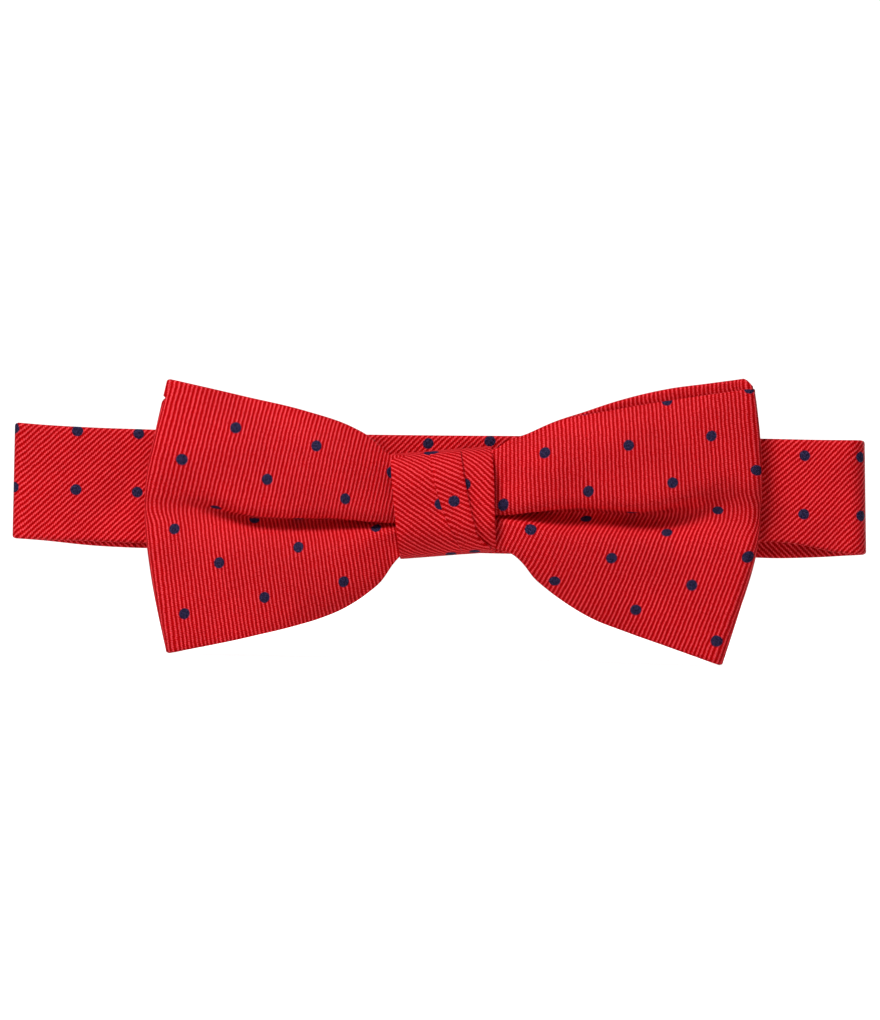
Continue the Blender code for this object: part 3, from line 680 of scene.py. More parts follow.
def wing_loop(name):
    """Front, fold and back of one wing. The fold's ends go on along the outline's slopes."""
    wing = WINGS[name]
    front = wing_front(name, STATIONS)
    last = front[-1]
    share = (last[:, 2] - last[-1, 2]) / (last[0, 2] - last[-1, 2])
    back = wing_back(name, BACK_STATIONS, share * 2 - 1)
    first = back[0]
    angle = TURN[:, None]
    mix = ease(2 * angle / np.pi + 0.5)[..., None]
    along = last * (1 - mix) + first * mix
    reach = FOLD_RADIUS * np.cos(angle)
    slope = share * end_slope(wing["top"]) + (1 - share) * end_slope(wing["bottom"])
    x = along[..., 0] + wing["side"] * reach
    y = along[..., 1] + FOLD_RADIUS * (np.sin(angle) + 1 - 2 * mix[..., 0])
    turn = np.stack([x, y, along[..., 2] + slope * reach], axis=-1)
    return front, turn, back


right_front, right_turn, right_back = wing_loop("right")
left_front, left_turn, left_back = wing_loop("left")
bow_grid = np.concatenate([
    right_front, right_turn, right_back[:-1], left_back[::-1], left_turn[::-1], left_front[::-1][:-1],
])
print("bow grid", bow_grid.shape)

# %% [markdown]
# ### Where the bow was cut from the cloth
#
# The ribs stand nearly upright on the wings and lean apart from the furrow, because each lobe of the cloth
# is turned a little by the pinched waist. A maker who wants the dots to fall in certain places moves the
# pattern until they do. Least squares does the same here: each lobe has its own cut, which gives the lattice
# numbers of a point as a quadratic in its distance from the waist and its height on the flat cloth, and the
# cut is the one that comes nearest to the dots and the ribs below. A dot's lattice numbers are both whole
# or both halves.

# %% Dots and ribs of the bow
REPEAT = DOT_STEP * np.sqrt(2)

#  a dot's x and z in mm, then its lattice numbers along the strip and up it
LOBE_DOTS = {
    "left_upper": [
        (-48.98, 5.61, 0, 0), (-33.48, 2.22, 1, 0), (-18.13, -1.00, 2, 0), (-39.39, 11.81, 0.5, 0.5),
        (-23.75, 8.59, 1.5, 0.5), (-10.76, 4.17, 2.5, 0.5), (-42.50, -2.85, 0.5, -0.5),
    ],
    "left_lower": [
        (-50.37, -7.37, 0, -1), (-34.94, -5.73, 1, -1), (-42.17, -13.44, 0.5, -1.5),
        (-27.47, -10.02, 1.5, -1.5), (-12.77, -6.72, 2.5, -1.5), (-47.88, -22.98, 0, -2),
        (-33.05, -19.85, 1, -2), (-18.54, -16.24, 2, -2),
    ],
    "right_upper": [
        (11.24, -0.94, 0, 0), (26.75, 1.04, 1, 0), (42.61, 3.04, 2, 0), (57.95, 5.66, 3, 0),
        (18.30, 7.85, 0.5, 0.5), (34.06, 9.98, 1.5, 0.5), (49.49, 12.23, 2.5, 0.5),
        (50.35, -1.65, 2.5, -0.5), (25.74, 16.05, 1, 1), (40.81, 18.77, 2, 1), (56.18, 21.19, 3, 1),
    ],
    "right_lower": [
        (41.28, -6.18, 2, -1), (56.52, -10.33, 3, -1), (16.16, -6.15, 0.5, -1.5),
        (31.21, -10.92, 1.5, -1.5), (46.55, -15.93, 2.5, -1.5), (20.98, -15.18, 1, -2),
        (35.98, -20.55, 2, -2), (51.02, -25.80, 3, -2),
    ],
}
#  a rib's x and z in mm, the distance to the next rib, and the lean of its normal in degrees
LOBE_RIBS = {
    "left_upper": [(-45, 12, 0.79, -15.0), (-30, 8, 0.79, -14.5), (-18, 6, 0.79, -15.5)],
    "left_lower": [(-42, -18, 0.74, 9.5), (-28, -14, 0.74, 9.0), (-15, -10, 0.74, 10.0)],
    "right_upper": [(18, 8, 0.77, -6.0), (33, 8, 0.77, 0.8), (50, 10, 0.77, 6.4)],
    "right_lower": [(22, -10, 0.79, -24.5), (35, -14, 0.79, -23.0), (48, -20, 0.79, -21.8)],
}
#  columns of the front's grid that lie on each lobe or just past it
LOBE_COLUMNS = {"upper": slice(0, 46), "lower": slice(40, 84)}
RIB_WEIGHT = 4.5
CURVE_SCALE = np.array([1, 1, 1, 0.01, 0.01])
print("dots set by hand:", sum(len(dots) for dots in LOBE_DOTS.values()))

# %% [markdown]
# Each lobe has seven to eleven dots, and a cut has five coefficients in each direction. Left free, the two
# curved terms would chase small errors of the dots' places and bend the ribs, so they are held back a little.

# %% Fitting a lobe's cut
ALONG_STIFFNESS, UP_STIFFNESS = 0.04, 0.08


def least_squares(rows, values, stiffness):
    """The coefficients of 1, x, z, x z and x x that bring rows times coefficients nearest to the values. The
    last two are held back by the stiffness, because a few dots can't say how a cut curves."""
    held = np.diag([0, 0, 0, stiffness, stiffness])
    system = np.vstack([rows * CURVE_SCALE, held])
    return np.linalg.lstsq(system, np.append(values, np.zeros(5)), rcond=None)[0] * CURVE_SCALE


def lobe_cut(lobe, front, flat_height):
    """The cut of one lobe, as two rows of five coefficients. A dot takes the flat height of the nearest point
    of the surface. A rib sets the two slopes of the first lattice number, which are the cosine and the sine
    of its lean, times RIB / (distance to the next rib times REPEAT)."""
    columns = LOBE_COLUMNS[lobe.split("_")[1]]
    x, z, flat = front[:, columns, 0] / MM, front[:, columns, 2] / MM, flat_height[:, columns]
    reach = np.abs(x[-1]).max() - 0.01
    dots = np.array(LOBE_DOTS[lobe])
    gap = (x - np.clip(dots[:, :1, None], -reach, reach)) ** 2 + (z - dots[:, 1:2, None]) ** 2
    nearest = np.argmin(gap.reshape(len(dots), -1), axis=1)
    dot_x, dot_z = dots[:, 0], flat.ravel()[nearest] + dots[:, 1] - z.ravel()[nearest]
    dot_rows = np.stack([np.ones_like(dot_x), dot_x, dot_z, dot_x * dot_z, dot_x**2], axis=1)

    rib_x, rib_z, pitch, lean = np.array(LOBE_RIBS[lobe]).T
    none, one = np.zeros_like(rib_x), np.ones_like(rib_x)
    rib_rows = np.concatenate([
        np.stack([none, one, none, rib_z, 2 * rib_x], axis=1),
        np.stack([none, none, one, rib_x, none], axis=1),
    ])
    turned = np.concatenate([np.cos(np.radians(lean)), np.sin(np.radians(lean))])
    slopes = RIB / np.tile(pitch, 2) / REPEAT * turned
    along = least_squares(
        np.vstack([dot_rows, rib_rows * RIB_WEIGHT]),
        np.append(dots[:, 2], slopes * RIB_WEIGHT),
        ALONG_STIFFNESS,
    )
    return np.stack([along, least_squares(dot_rows, dots[:, 3], UP_STIFFNESS)])


print("cuts are fitted with stiffness", ALONG_STIFFNESS, "and", UP_STIFFNESS)

# %% [markdown]
# Deep in the pleat, where the cloth is hidden, one lobe's cut turns smoothly into the other's, and where the
# pleat has opened they turn over a wider strip. Round the fold and behind, the cloth just runs on.

# %% Cloth of the bow


def straight_cut(place, number, along, up):
    """The coefficients of an even cut: number plus (a, b), where a along + b up = (x, z) - place."""
    inverse = np.linalg.inv(np.array([along, up], float).T)
    first = np.array(number) - inverse @ np.array(place)
    return np.column_stack([first, inverse, np.zeros((2, 2))])


def cut_cloth(cut, x, z):
    """Cloth millimetres of a point: a quadratic in x and z for each lattice number, times the repeat."""
    terms = np.stack([np.ones_like(x), x, z, x * z, x * x], axis=-1)
    return terms @ np.array(cut).T * REPEAT


def bow_cloth(name, front, turn, back):
    """Cloth of one wing. The height used for each lobe is its edge's less the length of cloth from there."""
    section = front.copy()
    section[..., 0] = 0
    run = arc_length(section, 1) / MM
    x, z = front[..., 0] / MM, front[..., 2] / MM
    upper_z, lower_z = z[:, :1] - run, z[:, -1:] + run[:, -1:] - run
    upper = cut_cloth(lobe_cut(name + "_upper", front, upper_z), x, upper_z)
    lower = cut_cloth(lobe_cut(name + "_lower", front, lower_z), x, lower_z)
    width = 0.03 + 0.20 * ease((np.abs(x) - 30) / 16)
    share = ease((ACROSS - 0.5) / width + 0.5)[..., None]
    on_front = upper * (1 - share) + lower * share
    edge = on_front[-1:]
    outward = WINGS[name]["side"] * np.array([1.0, 0.0])
    step = np.pi * FOLD_RADIUS / MM * np.linspace(0, 1, len(turn) + 2)[1:, None, None]
    bend = edge + step * outward
    behind = (np.abs(back[:1, :, 0]) - np.abs(back[..., 0]))[..., None] / MM
    return on_front, bend[:-1], bend[-1:] + behind * outward


right_cloth = bow_cloth("right", right_front, right_turn, right_back)
left_cloth = bow_cloth("left", left_front, left_turn, left_back)
bow_uv = np.concatenate([
    right_cloth[0], right_cloth[1], right_cloth[2][:-1],
    left_cloth[2][::-1], left_cloth[1][::-1], left_cloth[0][::-1][:-1],
])
bow_uv = np.concatenate([bow_uv, left_cloth[0][:1]])
bow = cloth_piece(
    "bow_cloth", bow_grid[:, ::-1], bow_uv[:, ::-1], HALF_STRIP, 0.55 * MM, TWILL, looped=True
)
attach(bow, "root")
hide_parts("bow_outer_cloth", "bow_inner_cloth")

# %% [markdown]
# Laid out flat, the bow is a plain strip as wide as the band of cloth and as long as the loop. The waist
# gathers it, so its surface is less than the flat strip's. The interlining follows the same grid, on every
# third column, and keeps clear of the edges.

INSET_COLUMNS = slice(6, -6, 3)
lining_uv = np.zeros((bow_grid.shape[0] + 1, len(ACROSS[INSET_COLUMNS]), 2))
LINING_HALF = 0.12 * MM
LINING_ROUND = 0.2 * MM
bow_lining = cloth_piece(
    "bow_lining", bow_grid[:, INSET_COLUMNS], lining_uv, LINING_HALF, LINING_ROUND, INTERLINING, looped=True
)
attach(bow_lining, "root")
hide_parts("bow_interlining")
print("bow lining on", lining_uv.shape[1], "columns")

# %% [markdown]
# ## The knot
#
# The knot is one more strip, wrapped round the waist, with two pleats that lean to the right as they go
# down. Its middle facet lies on top: the left facet slips under it at a fine fold, and the right facet at a
# deep one. The strip is a ring round the waist, and across it the section is again a spline, so that each
# pleat really doubles back under its fold.

# %% The knot's outline and folds
#  each line is (height, place across), in mm
KNOT_LEFT = [(-12.2, -8.0), (-3.8, -9.2), (7.95, -10.3), (12, -10.4)]
KNOT_RIGHT = [(-12, 9.7), (-4.9, 9.35), (3.7, 8.95), (9.5, 8.45), (12, 8.3)]
FINE_FOLD = [(-12, 4.2), (-8.5, 2.7), (-4.1, 0.45), (-0.5, -0.85), (3.4, -2.0), (8.6, -2.8), (12, -3.1)]
DEEP_FOLD = [(-12, 8.9), (-10.2, 8.3), (-8.9, 6.6), (-5.5, 5.05), (-0.8, 3.85), (3.9, 2.9), (8.6, 2.25),
             (12, 2.0)]
KNOT_SLOPE = 0.1
KNOT_HALF = 0.2 * MM
KNOT_BACK_CORNER = 1.2 * MM
KNOT_FRONT_CORNER = 6.6 * MM
knot_low, knot_high = (np.array(corner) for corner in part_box("knot_wrap"))


def rounded_loop(low, high, back_radius, front_radius, count):
    """Points (y, z) spaced evenly round a D, and its length. A D is a rectangle whose front corners are
    rounder than its back ones."""
    turn = np.radians(np.linspace(0, 90, 24))
    corners = [(high[0], high[1], back_radius), (low[0], high[1], front_radius),
               (low[0], low[1], front_radius), (high[0], low[1], back_radius)]
    arcs = []
    for quarter, (y, z, radius) in enumerate(corners):
        outward = np.array([1 if y == high[0] else -1, 1 if z == high[1] else -1])
        centre = np.array([y, z]) - radius * outward
        angle = turn + quarter * np.pi / 2
        arcs.append(centre + radius * np.stack([np.cos(angle), np.sin(angle)], axis=1))
    start = np.array([[high[0], (low[1] + high[1]) / 2]])
    path = np.concatenate([start, *arcs, start])
    run = arc_length(path, 0)
    even = np.linspace(0, run[-1], count + 1)[:-1]
    points = np.stack([np.interp(even, run, path[:, 0]), np.interp(even, run, path[:, 1])], axis=1)
    return points, run[-1]


#  columns: base (0 left edge, 1 fine fold, 2 deep fold), share of the way to the next, mm more, mm raised
KNOT_SECTION = np.array([
    (0, 0.00, 0.0, -0.30), (0, 0.00, 0.25, 0.10), (0, 0.25, 0.0, 0.34), (0, 0.55, 0.0, 0.42),
    (0, 0.85, 0.0, 0.36), (1, 0.00, 0.5, 0.20), (1, 0.00, 1.1, 0.16), (1, 0.00, 0.5, 0.36),
    (1, 0.00, -0.5, 0.82), (1, 0.18, 0.0, 1.10), (1, 0.50, 0.0, 1.25), (1, 0.82, 0.0, 1.35),
    (2, 0.00, 0.7, 1.25), (2, 0.00, -0.2, 0.30), (2, 0.00, -0.9, -0.15), (2, 0.20, 0.0, -0.35),
    (2, 0.45, 0.0, 0.05), (2, 0.80, 0.0, 0.30), (2, 0.97, 0.0, 0.10), (2, 1.00, 0.0, -0.30),
])
knot_across = edge_samples(110, 0.2)


def knot_grid():
    """A ring of (y, z) carried across the strip: spline weights times points between the edges and folds."""
    inset = KNOT_HALF
    ring, length = rounded_loop(
        (knot_low[1] + inset, knot_low[2] + inset + 0.35 * MM), (knot_high[1] - inset, knot_high[2] - inset),
        KNOT_BACK_CORNER, KNOT_FRONT_CORNER, 170,
    )
    out = np.roll(ring, -1, axis=0) - np.roll(ring, 1, axis=0)
    out = np.stack([out[:, 1], -out[:, 0]], axis=1) / np.linalg.norm(out, axis=1, keepdims=True)
    height = ring[:, 1] / MM
    tables = (KNOT_LEFT, FINE_FOLD, DEEP_FOLD, KNOT_RIGHT)
    lines = np.stack([smooth_through(table, height) for table in tables], axis=1)
    base = KNOT_SECTION[:, 0].astype(int)
    here, ahead = lines[:, base], lines[:, base + 1]
    x = here + KNOT_SECTION[:, 1] * (ahead - here) + KNOT_SECTION[:, 2]
    weights = spline_weights(len(KNOT_SECTION), knot_across)
    x = x @ weights.T
    on_front = ease((-4.5 * MM - ring[:, :1]) / (2.5 * MM))
    raised = (KNOT_SECTION[:, 3] @ weights.T)[None, :] * (0.1 + 0.9 * on_front) * MM
    y = ring[:, :1] + out[:, :1] * raised
    z = ring[:, 1:] + 0.3 * out[:, 1:] * raised + KNOT_SLOPE * x * MM
    return np.stack([x * MM, y, z], axis=-1), length


knot_middle, knot_length = knot_grid()
print("the knot's strip is", round(knot_length / MM, 1), "mm round")

# %% [markdown]
# Each of the knot's three facets shows its own piece of the pattern, because the pleats hide the cloth
# between them. So each facet has an even cut of its own: where one dot lies, and the steps to its neighbours.

# %% The knot's cloth
KNOT_CUTS = [
    straight_cut((-0.9, -1.6), (0, 0), (-9.0, -13.4), (13.4, -9.0)),
    straight_cut((1.7, -1.0), (0, 0), (-6.6, -14.7), (14.7, -6.6)),
    straight_cut((3.7, 2.2), (0, 0), (-11.0, -11.8), (11.8, -11.0)),
]


def knot_cloth():
    """Each facet's cut, with the height measured round the ring, eased from one to the next in the pleats."""
    rows = knot_middle.shape[0]
    run = np.arange(rows + 1) / rows * knot_length / MM
    ring_z = knot_middle[:, 0, 2] / MM
    front = int(np.argmin(knot_middle[:, 0, 1] + np.abs(ring_z) * 1e-6))
    developed = (run[front] - run)[:, None] + (ring_z[front] - KNOT_SLOPE * knot_middle[front, 0, 0] / MM)
    x = np.concatenate([knot_middle[..., 0], knot_middle[:1, :, 0]]) / MM
    z = developed + KNOT_SLOPE * x
    left, centre, right = (cut_cloth(cut, x, z) for cut in KNOT_CUTS)
    to_centre = ease((knot_across - 0.30) / 0.08)[None, :, None]
    to_right = ease((knot_across - 0.68) / 0.10)[None, :, None]
    return (left * (1 - to_centre) + centre * to_centre) * (1 - to_right) + right * to_right


knot = cloth_piece("knot", knot_middle, knot_cloth(), KNOT_HALF, 0.3 * MM, TWILL, looped=True)
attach(knot, "root")
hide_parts("knot_wrap")
print("knot of", len(knot.data.polygons), "faces")

# %% [markdown]
# The knot is stiffened by a strip of interlining under its cloth, which is narrower than the cloth.

# %% The knot's interlining
lining_inset = KNOT_HALF + 0.45 * MM
lining_ring, lining_length = rounded_loop(
    knot_low[1:] + lining_inset, knot_high[1:] - lining_inset, KNOT_BACK_CORNER - 0.5 * MM,
    KNOT_FRONT_CORNER - 0.5 * MM, 72,
)
KNOT_LINING_STRIP = 15.2 * MM
lining_x = np.linspace(-0.5, 0.5, 9) * KNOT_LINING_STRIP
knot_lining_grid = np.stack([
    lining_x[None, :] + 0 * lining_ring[:, :1],
    lining_ring[:, :1] + 0 * lining_x[None, :],
    lining_ring[:, 1:] + KNOT_SLOPE * lining_x[None, :],
], axis=-1)
knot_lining_uv = np.zeros((len(lining_ring) + 1, len(lining_x), 2))
knot_lining = cloth_piece(
    "knot_lining", knot_lining_grid, knot_lining_uv, LINING_HALF, LINING_ROUND, INTERLINING, looped=True
)
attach(knot_lining, "root")
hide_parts("knot_interlining")
print("knot lining", round(lining_length / MM, 1), "mm round")

# %% [markdown]
# ## The neck band
#
# The band is a flat tube of the same cloth, cut on the bias, so that its ribs slant and its dots stand in
# upright rows. It is folded back at both ends. The left part ends in a loop round the hook's bar. The right
# part runs through the slide, round the eye's bar, and back to the slide's middle bar.
#
# Each length is a path seen from above, carried up the width of the band. Bias cloth never lies quite
# straight, so the band's two edges are curves of their own.

# %% Paths of the band
#  places seen from above are (x, y) in mm
BAND_HALF = 0.6 * MM
SINGLE_HALF = 0.34 * MM
LEFT_FOLD, LEFT_RADIUS = (-78.7, 0.95), 1.65
RIGHT_FOLD, RIGHT_RADIUS = (75.4, 2.3), 3.0
HOOK_BAR, EYE_BAR, SLIDE_BAR = (-46.0, 3.3), (-24.0, 3.3), (46.0, 2.6)
BAR_LOOP = 1.3
EYE_LOOP = 2.0
MEETING_X = 20.0
FRONT_PATH_Y, LEFT_PATH_Y, RIGHT_PATH_Y = -0.7, 2.6, 5.3
HOOK_END_X, EYE_END_X = -58.0, -17.0
DOUBLED_Y = 1.3


def bend_round(centre, radius, start, end, count=25):
    """Points of an arc about a centre, between two angles in degrees."""
    angle = np.radians(np.linspace(start, end, count))
    return np.stack([centre[0] + radius * np.cos(angle), centre[1] + radius * np.sin(angle)], axis=1)


def even_path(*parts, step=0.9):
    """The parts joined, with points added so that none are more than a step apart. In mm."""
    points = np.concatenate([np.atleast_2d(np.array(part, float)) for part in parts])
    run = arc_length(points, 0)
    gaps = np.maximum(1, np.ceil(np.diff(run) / step).astype(int))
    steps = [np.linspace(a, b, n, endpoint=False) for a, b, n in zip(run[:-1], run[1:], gaps)]
    at = np.concatenate([*steps, run[-1:]])
    return np.stack([np.interp(at, run, points[:, 0]), np.interp(at, run, points[:, 1])], axis=1)


LEFT_PATH = even_path(
    (MEETING_X, FRONT_PATH_Y), bend_round(LEFT_FOLD, LEFT_RADIUS, -90, -270), (HOOK_END_X, LEFT_PATH_Y)
)
RIGHT_PATH = even_path(
    (MEETING_X, FRONT_PATH_Y), bend_round(RIGHT_FOLD, RIGHT_RADIUS, -90, 90), (EYE_END_X, RIGHT_PATH_Y)
)
HOOK_LOOP = even_path(
    (HOOK_END_X, LEFT_PATH_Y), (-51.0, LEFT_PATH_Y), (-49.2, 2.55), (-47.6, 2.2),
    bend_round(HOOK_BAR, BAR_LOOP, -90, 80), (-48.4, 4.3), (-50.0, 4.05), (-57.0, 4.0), step=0.6,
)
EYE_LOOP_PATH = even_path(
    (EYE_END_X, RIGHT_PATH_Y), (-21.0, RIGHT_PATH_Y), (-22.5, RIGHT_PATH_Y),
    bend_round(EYE_BAR, EYE_LOOP, 90, 270), (-21.0, DOUBLED_Y), step=0.6,
)
DOUBLED_PATH = even_path((-21.0, DOUBLED_Y), (34.0, DOUBLED_Y), step=1.2)
TAIL_PATH = even_path(
    (34.0, DOUBLED_Y), (44.0, DOUBLED_Y), bend_round(SLIDE_BAR, BAR_LOOP, -90, 80), (43.8, 3.3), (42.0, 2.5),
    (36.0, 2.4), step=0.6,
)
print("left half of the band:", round(arc_length(LEFT_PATH, 0)[-1], 1), "mm")

# %% [markdown]
# The band could be one box with a bend, but its edges wander by a millimetre, and that is what makes it look
# sewn. So the top and bottom edges of the front and of each strap are lists of (place along, height). The
# dots of the band are laid out along it, a little closer or wider apart where the bias cloth has stretched.

# %% Edges and cloth of the band
FRONT_TOP = [(-82, 12.1), (-76, 11.7), (-68, 11.4), (-54, 11.2), (-20, 11.1), (0, 11.3), (14, 11.5),
             (40, 11.8), (60, 12.0), (70, 12.0), (80, 12.15)]
FRONT_BOTTOM = [(-82, -9.7), (-54, -10.15), (0, -10.4), (40, -9.7), (56, -7.7), (62, -7.35), (67, -7.8),
                (73, -9.0), (80, -9.35)]
LEFT_TOP = [(-82, 12.1), (-70, 11.0), (-54, 10.5), (-40, 10.5)]
LEFT_BOTTOM = [(-82, -9.7), (-76, -10.0), (-66, -10.8), (-54, -11.1), (-40, -11.0)]
RIGHT_TOP = [(-28, 10.6), (50, 10.9), (66, 11.6), (80, 12.15)]
RIGHT_BOTTOM = [(-28, -10.6), (40, -10.5), (54, -10.3), (63, -10.4), (71, -10.0), (76, -9.6), (80, -9.35)]
FOLD_LEAN = -0.035
#  place along the band from its middle, number of the dot row there
DOT_COLUMNS = [(-92, -8.05), (-80.7, -7), (-69.1, -6), (-57.6, -5), (-3.4, 0), (8.2, 1), (67.3, 6), (77.8, 7),
               (89, 8)]
#  place along the band, height of a dot there
DOT_ROW = [(-82, -0.1), (-58, -0.6), (-3.4, -1.3), (8.2, -0.6), (67, -2.0), (80, -2.1)]
ROW_STEP = 11.0
BAND_ROUND = 0.62 * MM
BAND_ACROSS = edge_samples(30, 0.8)


def band_piece(name, path, top, bottom, place, thick, material, across=BAND_ACROSS):
    """A path carried up from the bottom edge to the top one, with a slight sway on the front. place is how
    far along the band each of its points is, in mm from the middle. On the bias, across = (p - q) / sqrt 2
    and along = (p + q) / sqrt 2, where p runs along the band and q up it. The grid follows p, so that its
    normals are the tube's outside."""
    if place[0] > place[-1]:
        path, top, bottom, place = path[::-1], top[::-1], bottom[::-1], place[::-1]
    height = bottom[:, None] + across[None, :] * (top - bottom)[:, None]
    along = path[:, :1]
    sway = 0.13 * np.sin(along * 0.21 + height * 0.16) + 0.07 * np.sin(along * 0.6 - height * 0.3)
    y = path[:, 1:] + sway * ease(-2 * path[:, 1:])
    x = along + FOLD_LEAN * height * ease((along - 64) / 12)
    grid = np.stack([x, y, height], axis=-1) * MM
    columns = np.array(DOT_COLUMNS)
    p = place + np.interp(place, columns[:, 0], columns[:, 1] * DOT_STEP - columns[:, 0])
    q = (height - smooth_through(DOT_ROW, np.clip(place, -82, 80))[:, None]) * DOT_STEP / ROW_STEP
    cloth = np.stack([(p[:, None] - q) / np.sqrt(2), (p[:, None] + q) / np.sqrt(2)], axis=-1)
    return cloth_piece(name, grid, cloth, thick, BAND_ROUND, material), grid


def edges(path, tables, last_y):
    """Top and bottom edges: the front's where the path is in front, and the strap's once it is round."""
    share = ease((path[:, 1] - FRONT_PATH_Y) / (last_y - FRONT_PATH_Y))
    front_top, front_bottom, strap_top, strap_bottom = (smooth_through(t, path[:, 0]) for t in tables)
    return front_top * (1 - share) + strap_top * share, front_bottom * (1 - share) + strap_bottom * share


def strap_edges(path, tables):
    """Top and bottom edges of a strap: the last two tables, read along the path."""
    return smooth_through(tables[2], path[:, 0]), smooth_through(tables[3], path[:, 0])


def run_of(path):
    """How far along a path each of its points is."""
    return arc_length(path, 0)


def cloth_sheet(piece, grid, width):
    """Prints one strip of cloth of that width, and as long as its grid, with the share of its area that its
    faces cover.
    """
    length = arc_length(grid, 0)[-1].mean()
    share = sum(p.area for p in piece.data.polygons) / 2 / (width * length)
    print(piece.name, round(width / MM, 1), "by", round(length / MM, 1), "mm, area share", round(share, 3))


LEFT_TABLES = (FRONT_TOP, FRONT_BOTTOM, LEFT_TOP, LEFT_BOTTOM)
RIGHT_TABLES = (FRONT_TOP, FRONT_BOTTOM, RIGHT_TOP, RIGHT_BOTTOM)
print("the band is about", round(FRONT_TOP[5][1] - FRONT_BOTTOM[2][1], 1), "mm wide")

# %% [markdown]
# Each half of the band is one piece from the knot to its strap, so that no seam shows at the fold. The
# halves meet behind the right wing.

# %% Left and right halves of the band
BAND_WIDTH = 21.7 * MM
#   how far along the band each point of a half is, in mm from the middle
left_place = MEETING_X - run_of(LEFT_PATH)
right_place = MEETING_X + run_of(RIGHT_PATH)
left_band, left_grid = band_piece(
    "left_band", LEFT_PATH, *edges(LEFT_PATH, LEFT_TABLES, LEFT_PATH_Y), left_place, BAND_HALF, TWILL
)
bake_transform(left_band)
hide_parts("front_band", "left_strap")
cloth_sheet(left_band, left_grid, BAND_WIDTH)

right_band, right_grid = band_piece(
    "right_band", RIGHT_PATH, *edges(RIGHT_PATH, RIGHT_TABLES, RIGHT_PATH_Y), right_place, BAND_HALF, TWILL
)
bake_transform(right_band)
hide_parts("right_strap")
cloth_sheet(right_band, right_grid, BAND_WIDTH)

# %% [markdown]
# Past the strap, the cloth thins out: round the bars and under the slide it is one folded layer, because the
# interlining stops before the bars. When the slide travels, the doubled length draws in towards the eye. On
# the real tie the cloth runs round the eye's bar.

# %% Loops, doubled strap and tail
LOOP_ACROSS = edge_samples(24, 0.8)
hook_place = left_place[-1] - run_of(HOOK_LOOP)
hook_loop, hook_grid = band_piece(
    "hook_loop", HOOK_LOOP, *strap_edges(HOOK_LOOP, LEFT_TABLES), hook_place, SINGLE_HALF, TWILL, LOOP_ACROSS
)
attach(hook_loop, "left_strap")
cloth_sheet(hook_loop, hook_grid, BAND_WIDTH)

eye_place = right_place[-1] + run_of(EYE_LOOP_PATH)
eye_loop, eye_grid = band_piece(
    "eye_loop", EYE_LOOP_PATH, *strap_edges(EYE_LOOP_PATH, RIGHT_TABLES), eye_place, SINGLE_HALF, TWILL,
    LOOP_ACROSS,
)
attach(eye_loop, "right_strap")
cloth_sheet(eye_loop, eye_grid, BAND_WIDTH)

doubled_place = eye_place[-1] + run_of(DOUBLED_PATH)
doubled, doubled_grid = band_piece(
    "doubled_band", DOUBLED_PATH, *strap_edges(DOUBLED_PATH, RIGHT_TABLES), doubled_place, SINGLE_HALF, TWILL,
    LOOP_ACROSS,
)
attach(doubled, "right_strap")
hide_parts("doubled_strap")
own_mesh(doubled)
cloth_sheet(doubled, doubled_grid, BAND_WIDTH)

tail_place = doubled_place[-1] + run_of(TAIL_PATH)
tail, tail_grid = band_piece(
    "adjuster_loop", TAIL_PATH, *strap_edges(TAIL_PATH, RIGHT_TABLES), tail_place, SINGLE_HALF, TWILL,
    LOOP_ACROSS,
)
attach(tail, "adjuster")
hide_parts("adjuster_tail")
cloth_sheet(tail, tail_grid, BAND_WIDTH)

# %% [markdown]
# The band's interlining is a strip inside each tube, as long as the tube and a little narrower.

# %% Interlinings of the band
LINING_SHARE = 0.88
LINING_ACROSS = 0.5 + LINING_SHARE * np.linspace(-0.5, 0.5, 7)


def lining_piece(name, path, tables, body, *nodes):
    """The same path between the same edges, drawn in, and a quarter of a millimetre thick."""
    top, bottom = tables
    nowhere = np.zeros(len(path))
    piece, grid = band_piece(name, path, top, bottom, nowhere, LINING_HALF, INTERLINING, LINING_ACROSS)
    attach(piece, body)
    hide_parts(*nodes)
    cloth_sheet(piece, grid, LINING_SHARE * BAND_WIDTH)


front_line = even_path((-77.5, FRONT_PATH_Y), (74.5, FRONT_PATH_Y), step=2.0)
left_line = even_path((-76.0, LEFT_PATH_Y), (-59.0, LEFT_PATH_Y), step=2.0)
right_line = even_path((73.0, RIGHT_PATH_Y), (-16.0, RIGHT_PATH_Y), step=2.0)
front_edges = edges(front_line, LEFT_TABLES, LEFT_PATH_Y)
left_edges, right_edges = strap_edges(left_line, LEFT_TABLES), strap_edges(right_line, RIGHT_TABLES)
lining_piece("front_lining", front_line, front_edges, "root", "front_band_interlining")
lining_piece("left_lining", left_line, left_edges, "left_strap", "left_strap_interlining")
lining_piece("right_lining", right_line, right_edges, "right_strap", "right_strap_interlining")

# %% [markdown]
# ## Thread, label and fittings
#
# The waist is held by a winding of red thread under the knot. A thread could be a curve with a bevel, but its
# ends would be cut square. Here it is a tube worked out round its path, which narrows to round ends.

# %% Threads
THREAD_SIDES = 8


